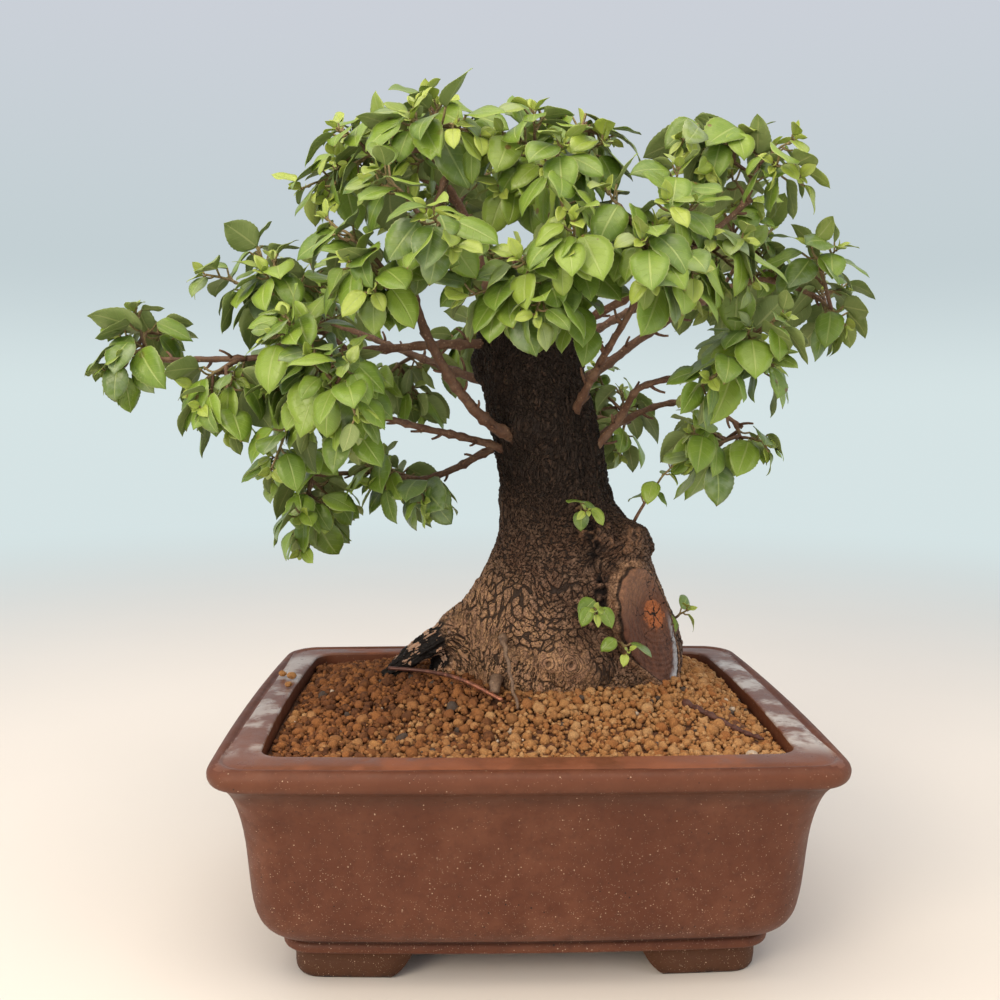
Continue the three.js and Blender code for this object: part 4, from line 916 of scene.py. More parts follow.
def scatterGrains():
    randoms = np.random.RandomState(soil["seed"])
    far = trunkOutline()
    footX, footY = soil["foot"]
    areaX, areaY = soil["area"]
    wirePath = np.array([wirePoint(t) for t in np.linspace(0, 1, 40)])
    cells, cellSize = {}, 8.0
    coarse, medium, small = (Heap("tone", "dryness") for _ in range(3))
    for number, (least, most, tries, spacing, high, level) in enumerate(soil["layers"]):
        shapes, faces = grainShapes(level, soil["shapes"], randoms)
        placed = 0
        for _ in range(tries):
            x, y = randoms.uniform(-areaX, areaX), randoms.uniform(-areaY, areaY)
            wide = randoms.uniform(least, most)
            rank, tone, drop = randoms.uniform(), randoms.uniform(), randoms.uniform()
            if not insideMouth(x, y, wide * 0.5):
                continue
            angle = int(math.degrees(math.atan2(y - footY, x - footX))) % 360
            if math.hypot(y - footY, x - footX) < far[angle] - 5:
                continue
            # the two coarse layers keep clear of each other, the fine ones only of their own kind
            home = (int(x // cellSize), int(y // cellSize))
            near = [g for i in (-1, 0, 1) for j in (-1, 0, 1) for g in cells.get((home[0] + i, home[1] + j), ())
                    if g[3] == number or number < 2]
            if any(math.hypot(x - g[0], y - g[1]) < spacing * 0.5 * (wide + g[2]) for g in near):
                continue
            cells.setdefault(home, []).append((x, y, wide, number))
            top = float(soilHeight(x, y))
            wireX, wireY, wireZ = wirePath[np.argmin(np.hypot(wirePath[:, 0] - x, wirePath[:, 1] - y))]
            if math.hypot(wireX - x, wireY - y) < wide * 0.5 + wire["clear"] and top + wide * 0.7 > wireZ - 1.5:
                continue
            lift = wide * soil["sunk"] + high * (rank - 0.35)
            if number > 1:
                lift += 0.35 + 2.0 * drop ** 2
            shape = shapes[int(tone * 997) % len(shapes)] @ turned(randoms).T * wide / 2
            if number > 1:
                heap = small
            else:
                heap = medium if number and not placed % 2 else coarse
            heap.add(shape + (x, y, top + lift), faces, tone=tone, dryness=dryShare(x, y))
            placed += 1
        print("grains", least, "to", most, "mm:", placed)
    return coarse, medium, small


soilColours = {"ochre": (0.47, 0.235, 0.088), "straw": (0.58, 0.34, 0.155), "orange": (0.36, 0.145, 0.048),
                "red": (0.185, 0.070, 0.028), "dark": (0.085, 0.035, 0.018), "bed": (0.12, 0.052, 0.024),
                "cinder": (0.085, 0.070, 0.060), "chip": (0.62, 0.50, 0.38), "cinderShare": 0.014, "chipShare": 0.003}


def makeGrainMaterial(s):
    material, tree, shader = newMaterial("bakedClayGrains")
    where = place(tree)
    tone, dry = attribute(tree, "tone"), attribute(tree, "dryness")
    damp = mix(tree, rise(tree, tone, 0.0, 0.45), s["dark"], s["red"])
    damp = mix(tree, rise(tree, tone, 0.4, 0.9), damp, s["orange"])
    light = mix(tree, rise(tree, tone, 0.0, 0.35), s["orange"], s["ochre"])
    light = mix(tree, rise(tree, tone, 0.5, 0.95), light, s["straw"])
    colour = mix(tree, rise(tree, dry, 0.15, 0.75), damp, light)
    patch = use(tree, mottle, where, Scale=0.45, Low=0.4, High=0.7)
    colour = paint(tree, colour, s["orange"], patch, 0.4)
    colour = mix(tree, calc(tree, "GREATER_THAN", tone, 1 - s["cinderShare"]), colour, s["cinder"])
    colour = mix(tree, calc(tree, "LESS_THAN", tone, s["chipShare"]), colour, s["chip"])
    dust = noise(tree, where, 1.6, 5, 0.7)
    colour = mix(tree, rise(tree, dust, 0.60, 0.44, 0.0, 0.35), colour, s["dark"])
    put(tree, shader["Base Color"], colour)
    shader["Roughness"].default_value = 0.95
    shader["Specular IOR Level"].default_value = 0.2
    put(tree, shader["Normal"], bump(tree, dust, 0.7, 0.5, bump(tree, noise(tree, where, 0.5, 3), 0.5, 0.8)))
    return material


def makeBedMaterial(s):
    material, tree, shader = newMaterial("soilBed")
    where = place(tree)
    grainy = noise(tree, where, 0.35, 6, 0.7)
    colour = mix(tree, rise(tree, grainy, 0.3, 0.7), s["dark"], s["bed"])
    put(tree, shader["Base Color"], mix(tree, use(tree, mottle, where, Scale=0.1, Low=0.4, High=0.7), colour, s["red"]))
    shader["Roughness"].default_value = 1.0
    put(tree, shader["Normal"], bump(tree, grainy, 0.9, 2.0))
    return material


grainMaterial = makeGrainMaterial(soilColours)
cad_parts["soil"].data.materials.clear()
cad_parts["soil"].data.materials.append(makeBedMaterial(soilColours))
for heap, grainName in zip(scatterGrains(), ("soil_grains_coarse", "soil_grains_medium", "soil_grains_fine")):
    addPiece(grainName, meshOf(grainName, heap), [grainMaterial], "soil")
print("soil made")


def stoneMaterial(name, s):
    material, tree, shader = newMaterial(name)
    where = place(tree)
    colour = mix(tree, rise(tree, noise(tree, where, 0.5, 5, 0.65), 0.35, 0.65), s["dark"], s["light"])
    colour = mix(tree, use(tree, speckle, where, Scale=1.4, Size=0.4, Amount=0.2), colour, s["dark"])
    put(tree, shader["Base Color"], colour)
    shader["Roughness"].default_value = s["rough"]
    put(tree, shader["Normal"], bump(tree, noise(tree, where, 1.1, 5, 0.7), 0.5, 0.4))
    return material


looseStones = {"stone_grey": {"dark": (0.030, 0.034, 0.040), "light": (0.10, 0.11, 0.125), "rough": 0.45},
               "stone_pale": {"dark": (0.42, 0.30, 0.20), "light": (0.66, 0.54, 0.40), "rough": 0.8},
               "stone_orange": {"dark": (0.42, 0.14, 0.035), "light": (0.68, 0.30, 0.08), "rough": 0.75}}
# tone of each spilt grain
rimGrains = {"rim_grain_back": 0.35, "rim_grain_mid": 0.62, "rim_grain_front": 0.5}


def roundedStone(node, seed, tone=0.5):  # broken pebble in the place of a CAD stone
    low, high = (np.array(corner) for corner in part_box(node))
    middle, half = ((low + high) / 2 - potMiddle) / mm, (high - low) / 2 / mm
    points, faces = roundBall(4)
    p = points * (1 + 0.22 * cloudNoise(points * 1.3 + seed, 3, 300 + seed))[:, None]
    randoms = np.random.RandomState(seed)
    for _ in range(9):
        flat = unit(randoms.normal(size=3))
        p = p - np.clip(p @ flat - randoms.uniform(0.66, 0.9), 0, None)[:, None] * flat * 0.85
    p = p / np.abs(p).max(axis=0) * half * 0.98
    heap = Heap("tone", "dryness")
    heap.add(p + middle, faces, tone=tone, dryness=0.85)
    return meshOf("pebble_" + node, heap)


for seed, (node, settings) in enumerate(looseStones.items()):
    surface = stoneMaterial(node + "Surface", settings)
    addPiece("pebble_" + node, roundedStone(node, seed + 5), [surface], "pebble", node)
for seed, (node, tone) in enumerate(rimGrains.items()):
    addPiece("pebble_" + node, roundedStone(node, seed + 15, tone), [grainMaterial], "soil", node)


deadTwig = {"route": [(86, -32, 3.2), (98, -44, 4.2), (110, -56, 4.0), (119, -68, 5.0)], "radii": (1.8, 1.5, 1.35, 0.9)}


def makeWire():
    share = np.linspace(0, 1, wire["rows"])
    points, quads, fans = tube([wirePoint(t) for t in share], wire["radius"], wire["sides"], 0.06, 9)
    heap = Heap("alongWire")
    heap.add(points, quads, fans, alongWire=np.concatenate([np.repeat(share, wire["sides"]), [0, 1]]))
    return meshOf("copper_tie_wire", heap)


copperSettings = {"brown": (0.105, 0.040, 0.028), "bright": (0.62, 0.25, 0.155), "stain": (0.05, 0.025, 0.02)}


def makeCopper(s):
    material, tree, shader = newMaterial("agedCopper")
    where = place(tree)
    share = attribute(tree, "alongWire")
    worn = plus(tree, share, rise(tree, noise(tree, where, 0.3, 4), 0.3, 0.7, -0.25, 0.25))
    bare = rise(tree, worn, 0.35, 1.05)
    colour = mix(tree, bare, s["brown"], s["bright"])
    colour = paint(tree, colour, s["stain"], use(tree, mottle, where, Scale=0.5, Low=0.5, High=0.7), 0.4)
    put(tree, shader["Base Color"], colour)
    put(tree, shader["Metallic"], rise(tree, bare, 0.0, 1.0, 0.35, 0.9))
    put(tree, shader["Roughness"], rise(tree, noise(tree, where, 1.2, 3), 0.3, 0.7, 0.34, 0.55))
    put(tree, shader["Normal"], bump(tree, noise(tree, where, 1.5, 3), 0.2, 0.2))
    return material


def makeDeadTwig():
    route = [(x, y, float(soilHeight(x, y)) + z) for x, y, z in deadTwig["route"]]
    path = np.array([spline(route, t) for t in np.linspace(0, 1, 40)])
    path += np.array([[0, 0.5 * (wobble(3, i) - 0.5), 0.5 * (wobble(4, i) - 0.5)] for i in range(40)])
    radii = np.interp(np.linspace(0, 3, 40), range(4), deadTwig["radii"])
    heap = Heap("age")
    heap.add(*tube(path, radii * (1 + 0.25 * np.sin(np.arange(40) * 1.1)), 10, 0.35, 21), age=1.0)
    return meshOf("fallen_twig", heap)


woods = {"deadShootWood": {"old": (0.20, 0.120, 0.075), "green": (0.22, 0.135, 0.085), "pale": (0.36, 0.25, 0.17)},
         "redBrownBranchBark": {"old": (0.150, 0.070, 0.038), "green": (0.270, 0.210, 0.075),
                                "pale": (0.34, 0.21, 0.125)},
         "deadTwigBark": {"old": (0.085, 0.026, 0.018), "green": (0.10, 0.04, 0.02), "pale": (0.20, 0.09, 0.06)}}
woodDark, collarDark = (0.045, 0.018, 0.012), (0.030, 0.016, 0.011)


def woodMaterial(name):
    s = woods[name]
    material, tree, shader = newMaterial(name)
    where = place(tree)
    age = attribute(tree, "age")
    fine = noise(tree, where, 0.9, 5, 0.7)
    colour = mix(tree, rise(tree, age, 0.1, 0.8), s["green"], s["old"])
    colour = paint(tree, colour, woodDark, rise(tree, fine, 0.62, 0.36), 0.6)
    colour = paint(tree, colour, s["pale"], use(tree, speckle, where, Scale=0.75, Size=0.45, Amount=0.3), 0.6)
    colour = paint(tree, colour, s["pale"], use(tree, mottle, where, Scale=0.14, Low=0.45, High=0.7), 0.4)
    dark = plus(tree, attribute(tree, "collar"), rise(tree, fine, 0.3, 0.7, -0.3, 0.3))
    put(tree, shader["Base Color"], mix(tree, rise(tree, dark, 0.35, 0.8, 0.0, 0.85), colour, collarDark))
    put(tree, shader["Roughness"], rise(tree, fine, 0.3, 0.7, 0.50, 0.80))
    soft = bump(tree, noise(tree, where, 0.3, 3), 0.5, 0.8)
    put(tree, shader["Normal"], bump(tree, fine, 0.6, 0.5, soft))
    return material


addPiece("dead_sucker", makeSucker(), [woodMaterial("deadShootWood")], "bark")
addPiece("copper_tie_wire", makeWire(), [makeCopper(copperSettings)], "copper_wire", "tie_wire")
limbWood = woodMaterial("redBrownBranchBark")
addPiece("fallen_twig", makeDeadTwig(), [woodMaterial("deadTwigBark")], "bark", "dead_twig")
print("loose things made")


# each limb: radius at its start and end, then its points
limbs = {
    "limb_front_left": (3.8, 1.7, [(-2, 6, 262), (-18, -10, 270), (-35, -26, 288), (-48, -40, 310), (-57, -50, 337),
                                   (-50, -56, 363), (-38, -52, 398)]),
    "limb_left_long": (3.4, 1.3, [(-8, 14, 314), (-30, 8, 314), (-68, 0, 311), (-120, -8, 306), (-164, -11, 304),
                                  (-200, -10, 303)]),
    "limb_left_mid": (2.8, 1.4, [(4, 22, 250), (-24, 10, 260), (-52, -6, 267), (-82, -24, 276), (-106, -38, 283)]),
    "limb_left_low": (3.1, 1.3, [(2, 26, 262), (-18, 28, 254), (-38, 30, 243), (-58, 30, 237), (-82, 28, 241),
                                 (-118, 24, 240)]),
    "limb_left_back": (3.4, 1.5, [(-4, 30, 290), (-32, 44, 298), (-62, 66, 310), (-96, 88, 324), (-122, 104, 334)]),
    "limb_back": (3.6, 1.6, [(8, 28, 300), (8, 56, 310), (0, 86, 330), (6, 112, 352), (2, 134, 372)]),
    "limb_back_low": (3.1, 1.4, [(16, 30, 262), (24, 58, 262), (36, 84, 268), (54, 106, 272), (70, 124, 270)]),
    "limb_right_back": (3.4, 1.5, [(20, 28, 306), (42, 46, 322), (70, 66, 338), (100, 82, 346), (124, 96, 352)]),
    "limb_leader": (3.9, 1.5, [(-13, 22, 326), (-20, 22, 348), (-28, 18, 378), (-42, 12, 402), (-50, 10, 430)]),
    "limb_top": (3.6, 1.5, [(14, 20, 326), (20, 10, 354), (20, 0, 384), (20, -6, 408), (30, -8, 426)]),
    "limb_right_upper": (3.4, 1.4, [(12, 20, 312), (34, 6, 326), (62, -14, 342), (90, -24, 364), (118, -22, 388)]),
    "limb_right_mid": (3.0, 1.4, [(26, 16, 268), (34, -8, 288), (42, -26, 307), (52, -46, 328), (60, -62, 352)]),
    "limb_right_low": (2.8, 1.3, [(34, 16, 244), (54, 6, 272), (64, -10, 290), (88, -20, 296), (114, -22, 299)]),
    "limb_right_far": (3.6, 1.3, [(20, 28, 284), (48, 32, 302), (78, 36, 324), (106, 32, 341), (138, 26, 353),
                                  (172, 22, 342)]),
    "limb_right_down": (2.6, 1.2, [(30, 28, 252), (56, 32, 268), (80, 26, 280), (104, 18, 282), (126, 12, 268)]),
}


limbShape = {"rooted": 9, "rows": 14, "sides": 12, "bend": 0.5, "collar": 1.15, "collarReach": 11,
             "jointApart": 13, "jointSwell": 0.32, "spurApart": 16}


def makeLimb(name, seed):
    start, end, points = limbs[name]
    first = np.array(points[0], float)
    points = [first + unit(first - np.array(points[1], float)) * limbShape["rooted"], *points]
    steps, sides = (len(points) - 1) * limbShape["rows"], limbShape["sides"]
    share = np.linspace(0, 1, steps + 1)
    path = np.array([spline(points, t) for t in share])
    travelled = np.concatenate([[0], np.cumsum(np.linalg.norm(np.diff(path, axis=0), axis=1))])
    radii = start + (end - start) * share
    radii *= 0.92 + limbShape["collar"] * np.exp(-(travelled / limbShape["collarReach"]) ** 1.5)
    for k in range(int(travelled[-1] // limbShape["jointApart"])):  # swollen joints
        at = 20 + k * limbShape["jointApart"] + 7 * wobble(seed, k + 3)
        radii += limbShape["jointSwell"] * radii * np.exp(-((travelled - at) / 1.7) ** 2) * (0.5 + wobble(seed, k + 9))
    path += limbShape["bend"] * np.stack([
        cloudNoise(np.stack([travelled / 11, travelled * 0, travelled * 0 + seed], axis=1), 2, k)
        for k in (1, 2, 3)], axis=1) * np.clip(travelled / 30, 0, 1)[:, None]
    heap = Heap("age", "collar")
    heap.add(*tube(path, radii, sides, 0.16, seed * 31),
             age=np.concatenate([np.repeat(1 - 0.35 * share, sides), [1, 0.6]]),
             collar=np.concatenate([np.repeat(ease(24, 9, travelled), sides), [1, 0]]))
    # short spurs where old leaves were
    for k in range(int(travelled[-1] // limbShape["spurApart"])):
        at = 24 + limbShape["spurApart"] * k + 8 * wobble(seed, k + 21)
        i = min(int(np.searchsorted(travelled, at)), steps - 1)
        along = unit(path[i + 1] - path[i])
        side = sideVector(along, wobble(seed, k + 33) * 2 * math.pi)
        long = 2.5 + 4 * wobble(seed, k + 40)
        spur = [path[i] + side * radii[i] * 0.5, path[i] + (side + 0.4 * along) * (radii[i] + long * 0.5),
                path[i] + (side + 0.7 * along) * (radii[i] + long)]
        heap.add(*tube([spline(spur, t) for t in (0, 0.35, 0.7, 1)], (1.1, 0.85, 0.7, 0.6), 6, 0.2, k), age=0.8)
    return meshOf("branch_" + name[5:], heap)


# lengths in millimetres; teeth, waves, sway and arch are shares of a length
leafSettings = {"long": 25, "wide": 0.70, "stalk": 8, "shoot": 1.1, "sprout": 13, "rows": 20, "thick": 0.22,
                "spiral": 2.39996, "tooth": 0.022, "wave": 0.035, "sway": 0.16, "twist": 0.7, "arch": 0.13,
                "leafApart": 10.5, "sideLeafApart": 7.5, "secondShoot": 34,
                # share of the length, share of the half width
                "profile": [(0, 0.04), (0.03, 0.20), (0.07, 0.46), (0.13, 0.71), (0.21, 0.89), (0.30, 0.98),
                            (0.38, 1), (0.48, 0.98), (0.60, 0.89), (0.71, 0.74), (0.80, 0.56), (0.87, 0.37),
                            (0.925, 0.20), (0.965, 0.09), (1, 0.008)]}


def shootPoint(shoot, t):
    start, middle, end = shoot["curve"]
    return (1 - t) ** 2 * start + 2 * t * (1 - t) * middle + t * t * end


def shootAlong(shoot, t):
    start, middle, end = shoot["curve"]
    return unit(2 * (1 - t) * (middle - start) + 2 * t * (end - middle))


def arch(start, end):
    middle = (start + end) / 2
    middle[2] += leafSettings["arch"] * float(np.linalg.norm(end - start))
    return start, middle, end


def sideVector(along, turn):
    flat = np.cross(along, (0, 0, 1))
    if np.linalg.norm(flat) < 0.05:
        flat = np.array([1.0, 0, 0])
    flat = unit(flat)
    return flat * math.cos(turn) + unit(np.cross(flat, along)) * math.sin(turn)


def leafPose(shoot, j, count, size):
    t = 0.16 + 0.84 * (j + 1) / count
    seed = shoot["seed"]
    foot, along = shootPoint(shoot, min(t, 1)), shootAlong(shoot, min(t, 1))
    side = sideVector(along, j * leafSettings["spiral"] + seed * 1.7)
    opened = 0.75 + 0.4 * wobble(seed, j + 5)
    stalk = along * math.cos(opened) + side * math.sin(opened)
    stalk[2] += 0.22
    stalk = unit(stalk)
    young = min(max((t - 0.7) / 0.3, 0), 1)
    long = size * (1 - 0.45 * young) * (0.82 + 0.36 * wobble(seed, j + 31))
    neck = foot + stalk * (leafSettings["stalk"] * long / leafSettings["long"])
    blade = stalk.copy()
    blade[2] -= 0.35 + (0.15 + 0.85 * wobble(seed, j + 57)) * (1 - 0.8 * young)
    blade = unit(blade)
    outward = unit(np.array([foot[0], foot[1] - 25, 0]))  # blades turn their faces out of the crown, to the light
    lean = np.array([wobble(seed, j + 71) - 0.5, wobble(seed, j + 83) - 0.5, 0.75]) + 0.42 * outward
    return foot, neck, blade, unit(lean - blade * np.dot(lean, blade)), long, young


def leafTemplate():
    rows = leafSettings["rows"]
    u = np.linspace(0, 1, rows + 1) ** 0.92
    s = np.array([-1, -0.52, -0.09, 0.09, 0.52, 1])
    grid = np.stack(np.meshgrid(u, s, indexing="ij"), axis=2)
    cols = len(s)
    index = np.arange((rows + 1) * cols).reshape(rows + 1, cols)
    top = np.stack([index[:-1, :-1], index[:-1, 1:], index[1:, 1:], index[1:, :-1]], axis=2).reshape(-1, 4)
    under = top[:, ::-1] + index.size
    rim = np.concatenate([index[0, :], index[1:, -1], index[-1, -2::-1], index[-2:0:-1, 0]])
    following = np.roll(rim, -1)
    edge = np.stack([following, rim, rim + index.size, following + index.size], axis=1)
    return grid, np.concatenate([top, under, edge])


leafGrid, leafFaces = leafTemplate()
profileU, profileWide = zip(*leafSettings["profile"])


def addLeaf(heap, foot, neck, blade, face, long, age, seed):
    w = [wobble(seed, k) for k in range(1, 12)]
    u, s = leafGrid[:, :, 0], leafGrid[:, :, 1]
    rows = u.shape[0]
    wide = np.interp(u[:, 0], profileU, profileWide) * long * leafSettings["wide"] / 2 * (0.9 + 0.2 * w[0])
    inAndOut = np.where(np.arange(rows) % 2, 1, -1)
    tooth = leafSettings["tooth"] * inAndOut * ease(0.06, 0.2, u[:, 0]) * ease(1, 0.9, u[:, 0])
    wide = (wide * (1 + tooth))[:, None]
    # the midrib bends down towards the tip, most in old leaves
    bend = (0.10 + 0.75 * w[1] ** 1.3 - 0.25 * age) * u[:, 0] ** 1.2 + 0.35 * ease(0.8, 1.0, u[:, 0])
    step = np.diff(u[:, 0], prepend=0) * long
    forward, fall = np.cumsum(step * np.cos(bend)), np.cumsum(step * np.sin(bend))
    fold = (0.08 + 0.30 * w[2] ** 1.5 + 0.30 * age) * (1 - 0.55 * u)
    wave = leafSettings["wave"] * long * np.sin(u * (5 + 4 * w[3]) + 6.28 * w[4] + 0.9 * np.sign(s))
    wave = wave * np.abs(s) ** 2 * np.sin(np.clip(u, 0, 1) * math.pi)
    curl = 0.10 + 0.22 * w[5]
    x = s * wide * np.cos(fold)
    z = np.abs(s) * wide * np.sin(fold) - curl * wide * s ** 2 * u + wave
    twist = (w[6] - 0.5) * leafSettings["twist"] * u
    x, z = x * np.cos(twist) - z * np.sin(twist), x * np.sin(twist) + z * np.cos(twist)
    sway = (w[7] - 0.5) * leafSettings["sway"] * long * u ** 2  # the blade is seldom straight
    rib = (0.16 + 0.02 * long) * np.exp(-(s / 0.2) ** 2) * (1 - u)
    half = leafSettings["thick"] / 2 * (1 - 0.45 * np.abs(s))
    upX, upY = np.sin(bend)[:, None], np.cos(bend)[:, None]
    across = np.cross(blade, face)
    layers = []
    for side in (1, -1):
        lift = z + side * half - (rib if side < 0 else 0)
        px = x + sway
        py = forward[:, None] + lift * upX
        pz = -fall[:, None] + lift * upY
        layers.append((px[..., None] * across + py[..., None] * blade + pz[..., None] * face).reshape(-1, 3) + neck)
    count = u.size
    leafAt = np.stack([np.tile(s.ravel(), 2), np.tile(u.ravel(), 2), np.repeat([1.0, 0.0], count)], axis=1)
    heap.add(np.concatenate(layers), leafFaces, slot=0, leafPlace=leafAt, age=age, tone=w[8], spots=w[9])
    thin = 0.34 + 0.012 * long
    droop = (foot + neck) / 2 - np.array([0, 0, 0.06 * long])
    path = [spline([foot, droop, neck + blade * 0.4], t) for t in np.linspace(0, 1, 6)]
    heap.add(*tube(path, thin, 5), slot=1, leafPlace=(0, 0, 0.5), age=0.1 * (1 - age), tone=w[8])


def shootsOf(name, limb, share, tips, order):
    points = limbs[limb][2]
    seed = 1 + order * 9
    shoots, leader = [], None
    for i, tip in enumerate(tips):
        start = spline(points, share) if i == 0 else shootPoint(leader, 0.22 + 0.2 * i)
        shoot = {"curve": arch(start, np.array(tip, float)), "seed": seed + i * 3, "size": leafSettings["long"],
                 "radius": leafSettings["shoot"] * (1.15 if i == 0 else 1.0)}
        leader = leader or shoot
        steps = [shootPoint(shoot, (k + 1) / 40) - shootPoint(shoot, k / 40) for k in range(40)]
        long = float(sum(np.linalg.norm(step) for step in steps))
        shoot["long"], shoot["count"] = long, max(4, round(long / leafSettings["leafApart"]))
        shoots.append(shoot)
        for side in range(2 if long > leafSettings["secondShoot"] else 1):
            branch = seed + i * 3 + 1 + side * 57
            at = (0.3 + 0.4 * wobble(branch, 2)) if side == 0 else (0.12 + 0.25 * wobble(branch, 2))
            along = shootAlong(shoot, at)
            reach = min(34, max(18, long * 0.42)) * (0.8 + 0.4 * wobble(branch, 4)) * (1 - 0.25 * side)
            heading = along * 0.62 + sideVector(along, wobble(branch, 3) * 2 * math.pi) * 0.78
            heading[2] += 0.1
            start = shootPoint(shoot, at)
            shoots.append({"curve": arch(start, start + unit(heading) * reach), "seed": branch + 400,
                           "size": leafSettings["long"] * 0.9, "radius": leafSettings["shoot"] * 0.8, "long": reach,
                           "count": max(3, round(reach / leafSettings["sideLeafApart"]))})
    return shoots


def makeSpray(pieceName, shoots, youth):
    heap = Heap("leafPlace", "age", "tone", "spots")
    leaves = 0
    for shoot in shoots:
        seed, count = shoot["seed"], shoot["count"]
        rows = max(10, int(shoot["long"] / 3))
        share = np.linspace(0, 1, rows + 1)
        path = np.array([shootPoint(shoot, t) for t in share])
        path[1:] += 0.45 * np.stack([np.sin(share[1:] * (17 + k) + seed + k * 2) * share[1:] for k in range(3)], axis=1)
        sides = 7
        heap.add(*tube(path, shoot["radius"] * (1.15 - 0.65 * share), sides, 0.12, seed), slot=1, leafPlace=(0, 0, 0.5),
                 age=np.concatenate([np.repeat(np.clip(0.85 - 0.8 * share, 0, 1), sides), [0.85, 0.05]]))
        places = [(j, count, 0) for j in range(count)]
        if shoot.get("between", True):
            places += [(j + 0.5, count, 3) for j in range(count - 1)]
        for j, of, other in places:
            foot, neck, blade, face, long, young = leafPose(shoot, j, of, shoot["size"])
            fresh = young * (0.45 + 0.55 * youth) * (0.6 + 0.5 * wobble(seed, j + 77))
            age = float(np.clip(fresh + 0.3 * youth * wobble(seed, j + 91) - 0.08, 0, 1))
            addLeaf(heap, foot, neck, blade, face, long * (1.0 if not other else 0.86), age, seed * 7 + j * 3 + other)
            leaves += 1
        # opening leaves at the tip
        tip, along = path[-1], shootAlong(shoot, 1.0)
        for k in range(3):
            side = sideVector(along, seed + k * 2.1)
            blade = unit(along * (1.2 - 0.25 * k) + side * (0.25 + 0.25 * k) + np.array([0, 0, 0.25]))
            face = unit(np.array([0.1, -0.1, 0.6]) + along * 0.3 - side * 0.5)
            face = unit(face - blade * np.dot(face, blade))
            size = shoot["size"] * (0.22 + 0.09 * k)
            addLeaf(heap, tip, tip + blade * 1.6, blade, face, size, 0.6 + 0.35 * youth, seed * 5 + k)
    return meshOf(pieceName, heap), leaves


# each spray: its limb and the share of its length, then a tip for each shoot; later shoots leave the first
sprays = {
    "spray_left_tip": ("limb_left_long", 0.96, (-213, -9, 314), (-207, -25, 302), (-202, 10, 322)),
    "spray_left_droop": ("limb_left_long", 0.72, (-171, -28, 288), (-151, -40, 268), (-131, 14, 287)),
    "spray_left_rise": ("limb_left_long", 0.5, (-165, -23, 347), (-132, -36, 345), (-126, 17, 341)),
    "spray_left_hang": ("limb_left_long", 0.56, (-105, -64, 274), (-127, -53, 249), (-84, -70, 269)),
    "spray_left_front": ("limb_left_mid", 0.92, (-104, -78, 302), (-118, -58, 322), (-81, -96, 276)),
    "spray_left_under": ("limb_left_low", 0.93, (-138, 15, 238), (-123, 4, 200), (-106, 42, 218)),
    "spray_left_skirt": ("limb_left_low", 0.6, (-82, 4, 236), (-52, 12, 229), (-72, 55, 235)),
    "spray_back_left": ("limb_left_back", 0.95, (-143, 117, 329), (-110, 138, 348), (-133, 88, 361), (-139, 99, 293)),
    "spray_back_left_low": ("limb_left_back", 0.5, (-90, 105, 289), (-59, 107, 276), (-110, 71, 282)),
    "spray_shoulder_left": ("limb_front_left", 0.62, (-79, -69, 348), (-99, -49, 370), (-72, -95, 332)),
    "spray_front_left": ("limb_front_left", 0.82, (-49, -94, 364), (-70, -77, 387), (-37, -115, 348)),
    "spray_upper_left": ("limb_front_left", 0.97, (-66, -31, 417), (-90, -28, 402), (-37, -70, 411)),
    "spray_crown_left": ("limb_leader", 0.6, (-99, 21, 431), (-121, 17, 399), (-79, 50, 415), (-104, -9, 389)),
    "spray_crown": ("limb_leader", 0.97, (-47, 10, 441), (-62, 33, 431), (-26, 26, 432)),
    "spray_crown_back": ("limb_leader", 0.42, (-43, 82, 408), (-71, 77, 391), (-20, 75, 422)),
    "spray_crown_mid": ("limb_top", 0.96, (31, 0, 429), (3, -20, 426), (48, 17, 426)),
    "spray_crown_front": ("limb_top", 0.6, (7, -76, 392), (33, -69, 403), (-12, -57, 411), (12, -99, 369)),
    "spray_front": ("limb_right_mid", 0.5, (-7, -108, 343), (16, -109, 360), (-31, -93, 329)),
    "spray_back": ("limb_back", 0.95, (4, 154, 383), (-35, 143, 390), (38, 141, 386), (0, 163, 353)),
    "spray_back_low": ("limb_back_low", 0.95, (86, 137, 280), (52, 148, 296), (74, 126, 248), (26, 133, 265)),
    "spray_back_mid": ("limb_back", 0.5, (-40, 116, 320), (-14, 140, 313), (32, 123, 328)),
    "spray_back_right": ("limb_right_back", 0.95, (143, 106, 354), (112, 131, 357), (95, 76, 393), (141, 108, 316)),
    "spray_right_crown": ("limb_right_upper", 0.95, (132, -4, 418), (95, 8, 423), (136, -40, 395), (80, -32, 416)),
    "spray_right_front": ("limb_right_upper", 0.62, (84, -75, 360), (61, -88, 372), (108, -60, 341)),
    "spray_front_right": ("limb_right_mid", 0.96, (47, -106, 352), (68, -91, 329), (35, -83, 377)),
    "spray_right_mid": ("limb_right_low", 0.95, (128, -34, 302), (110, -54, 318), (90, -61, 294)),
    "spray_right_tip": ("limb_right_far", 0.97, (182, 13, 327), (176, 33, 347), (157, -4, 366)),
    "spray_right_top": ("limb_right_far", 0.66, (150, 49, 384), (120, 56, 401), (161, 56, 347)),
    "spray_right_low": ("limb_right_down", 0.95, (126, 8, 257), (111, 35, 247), (95, -7, 250)),
}
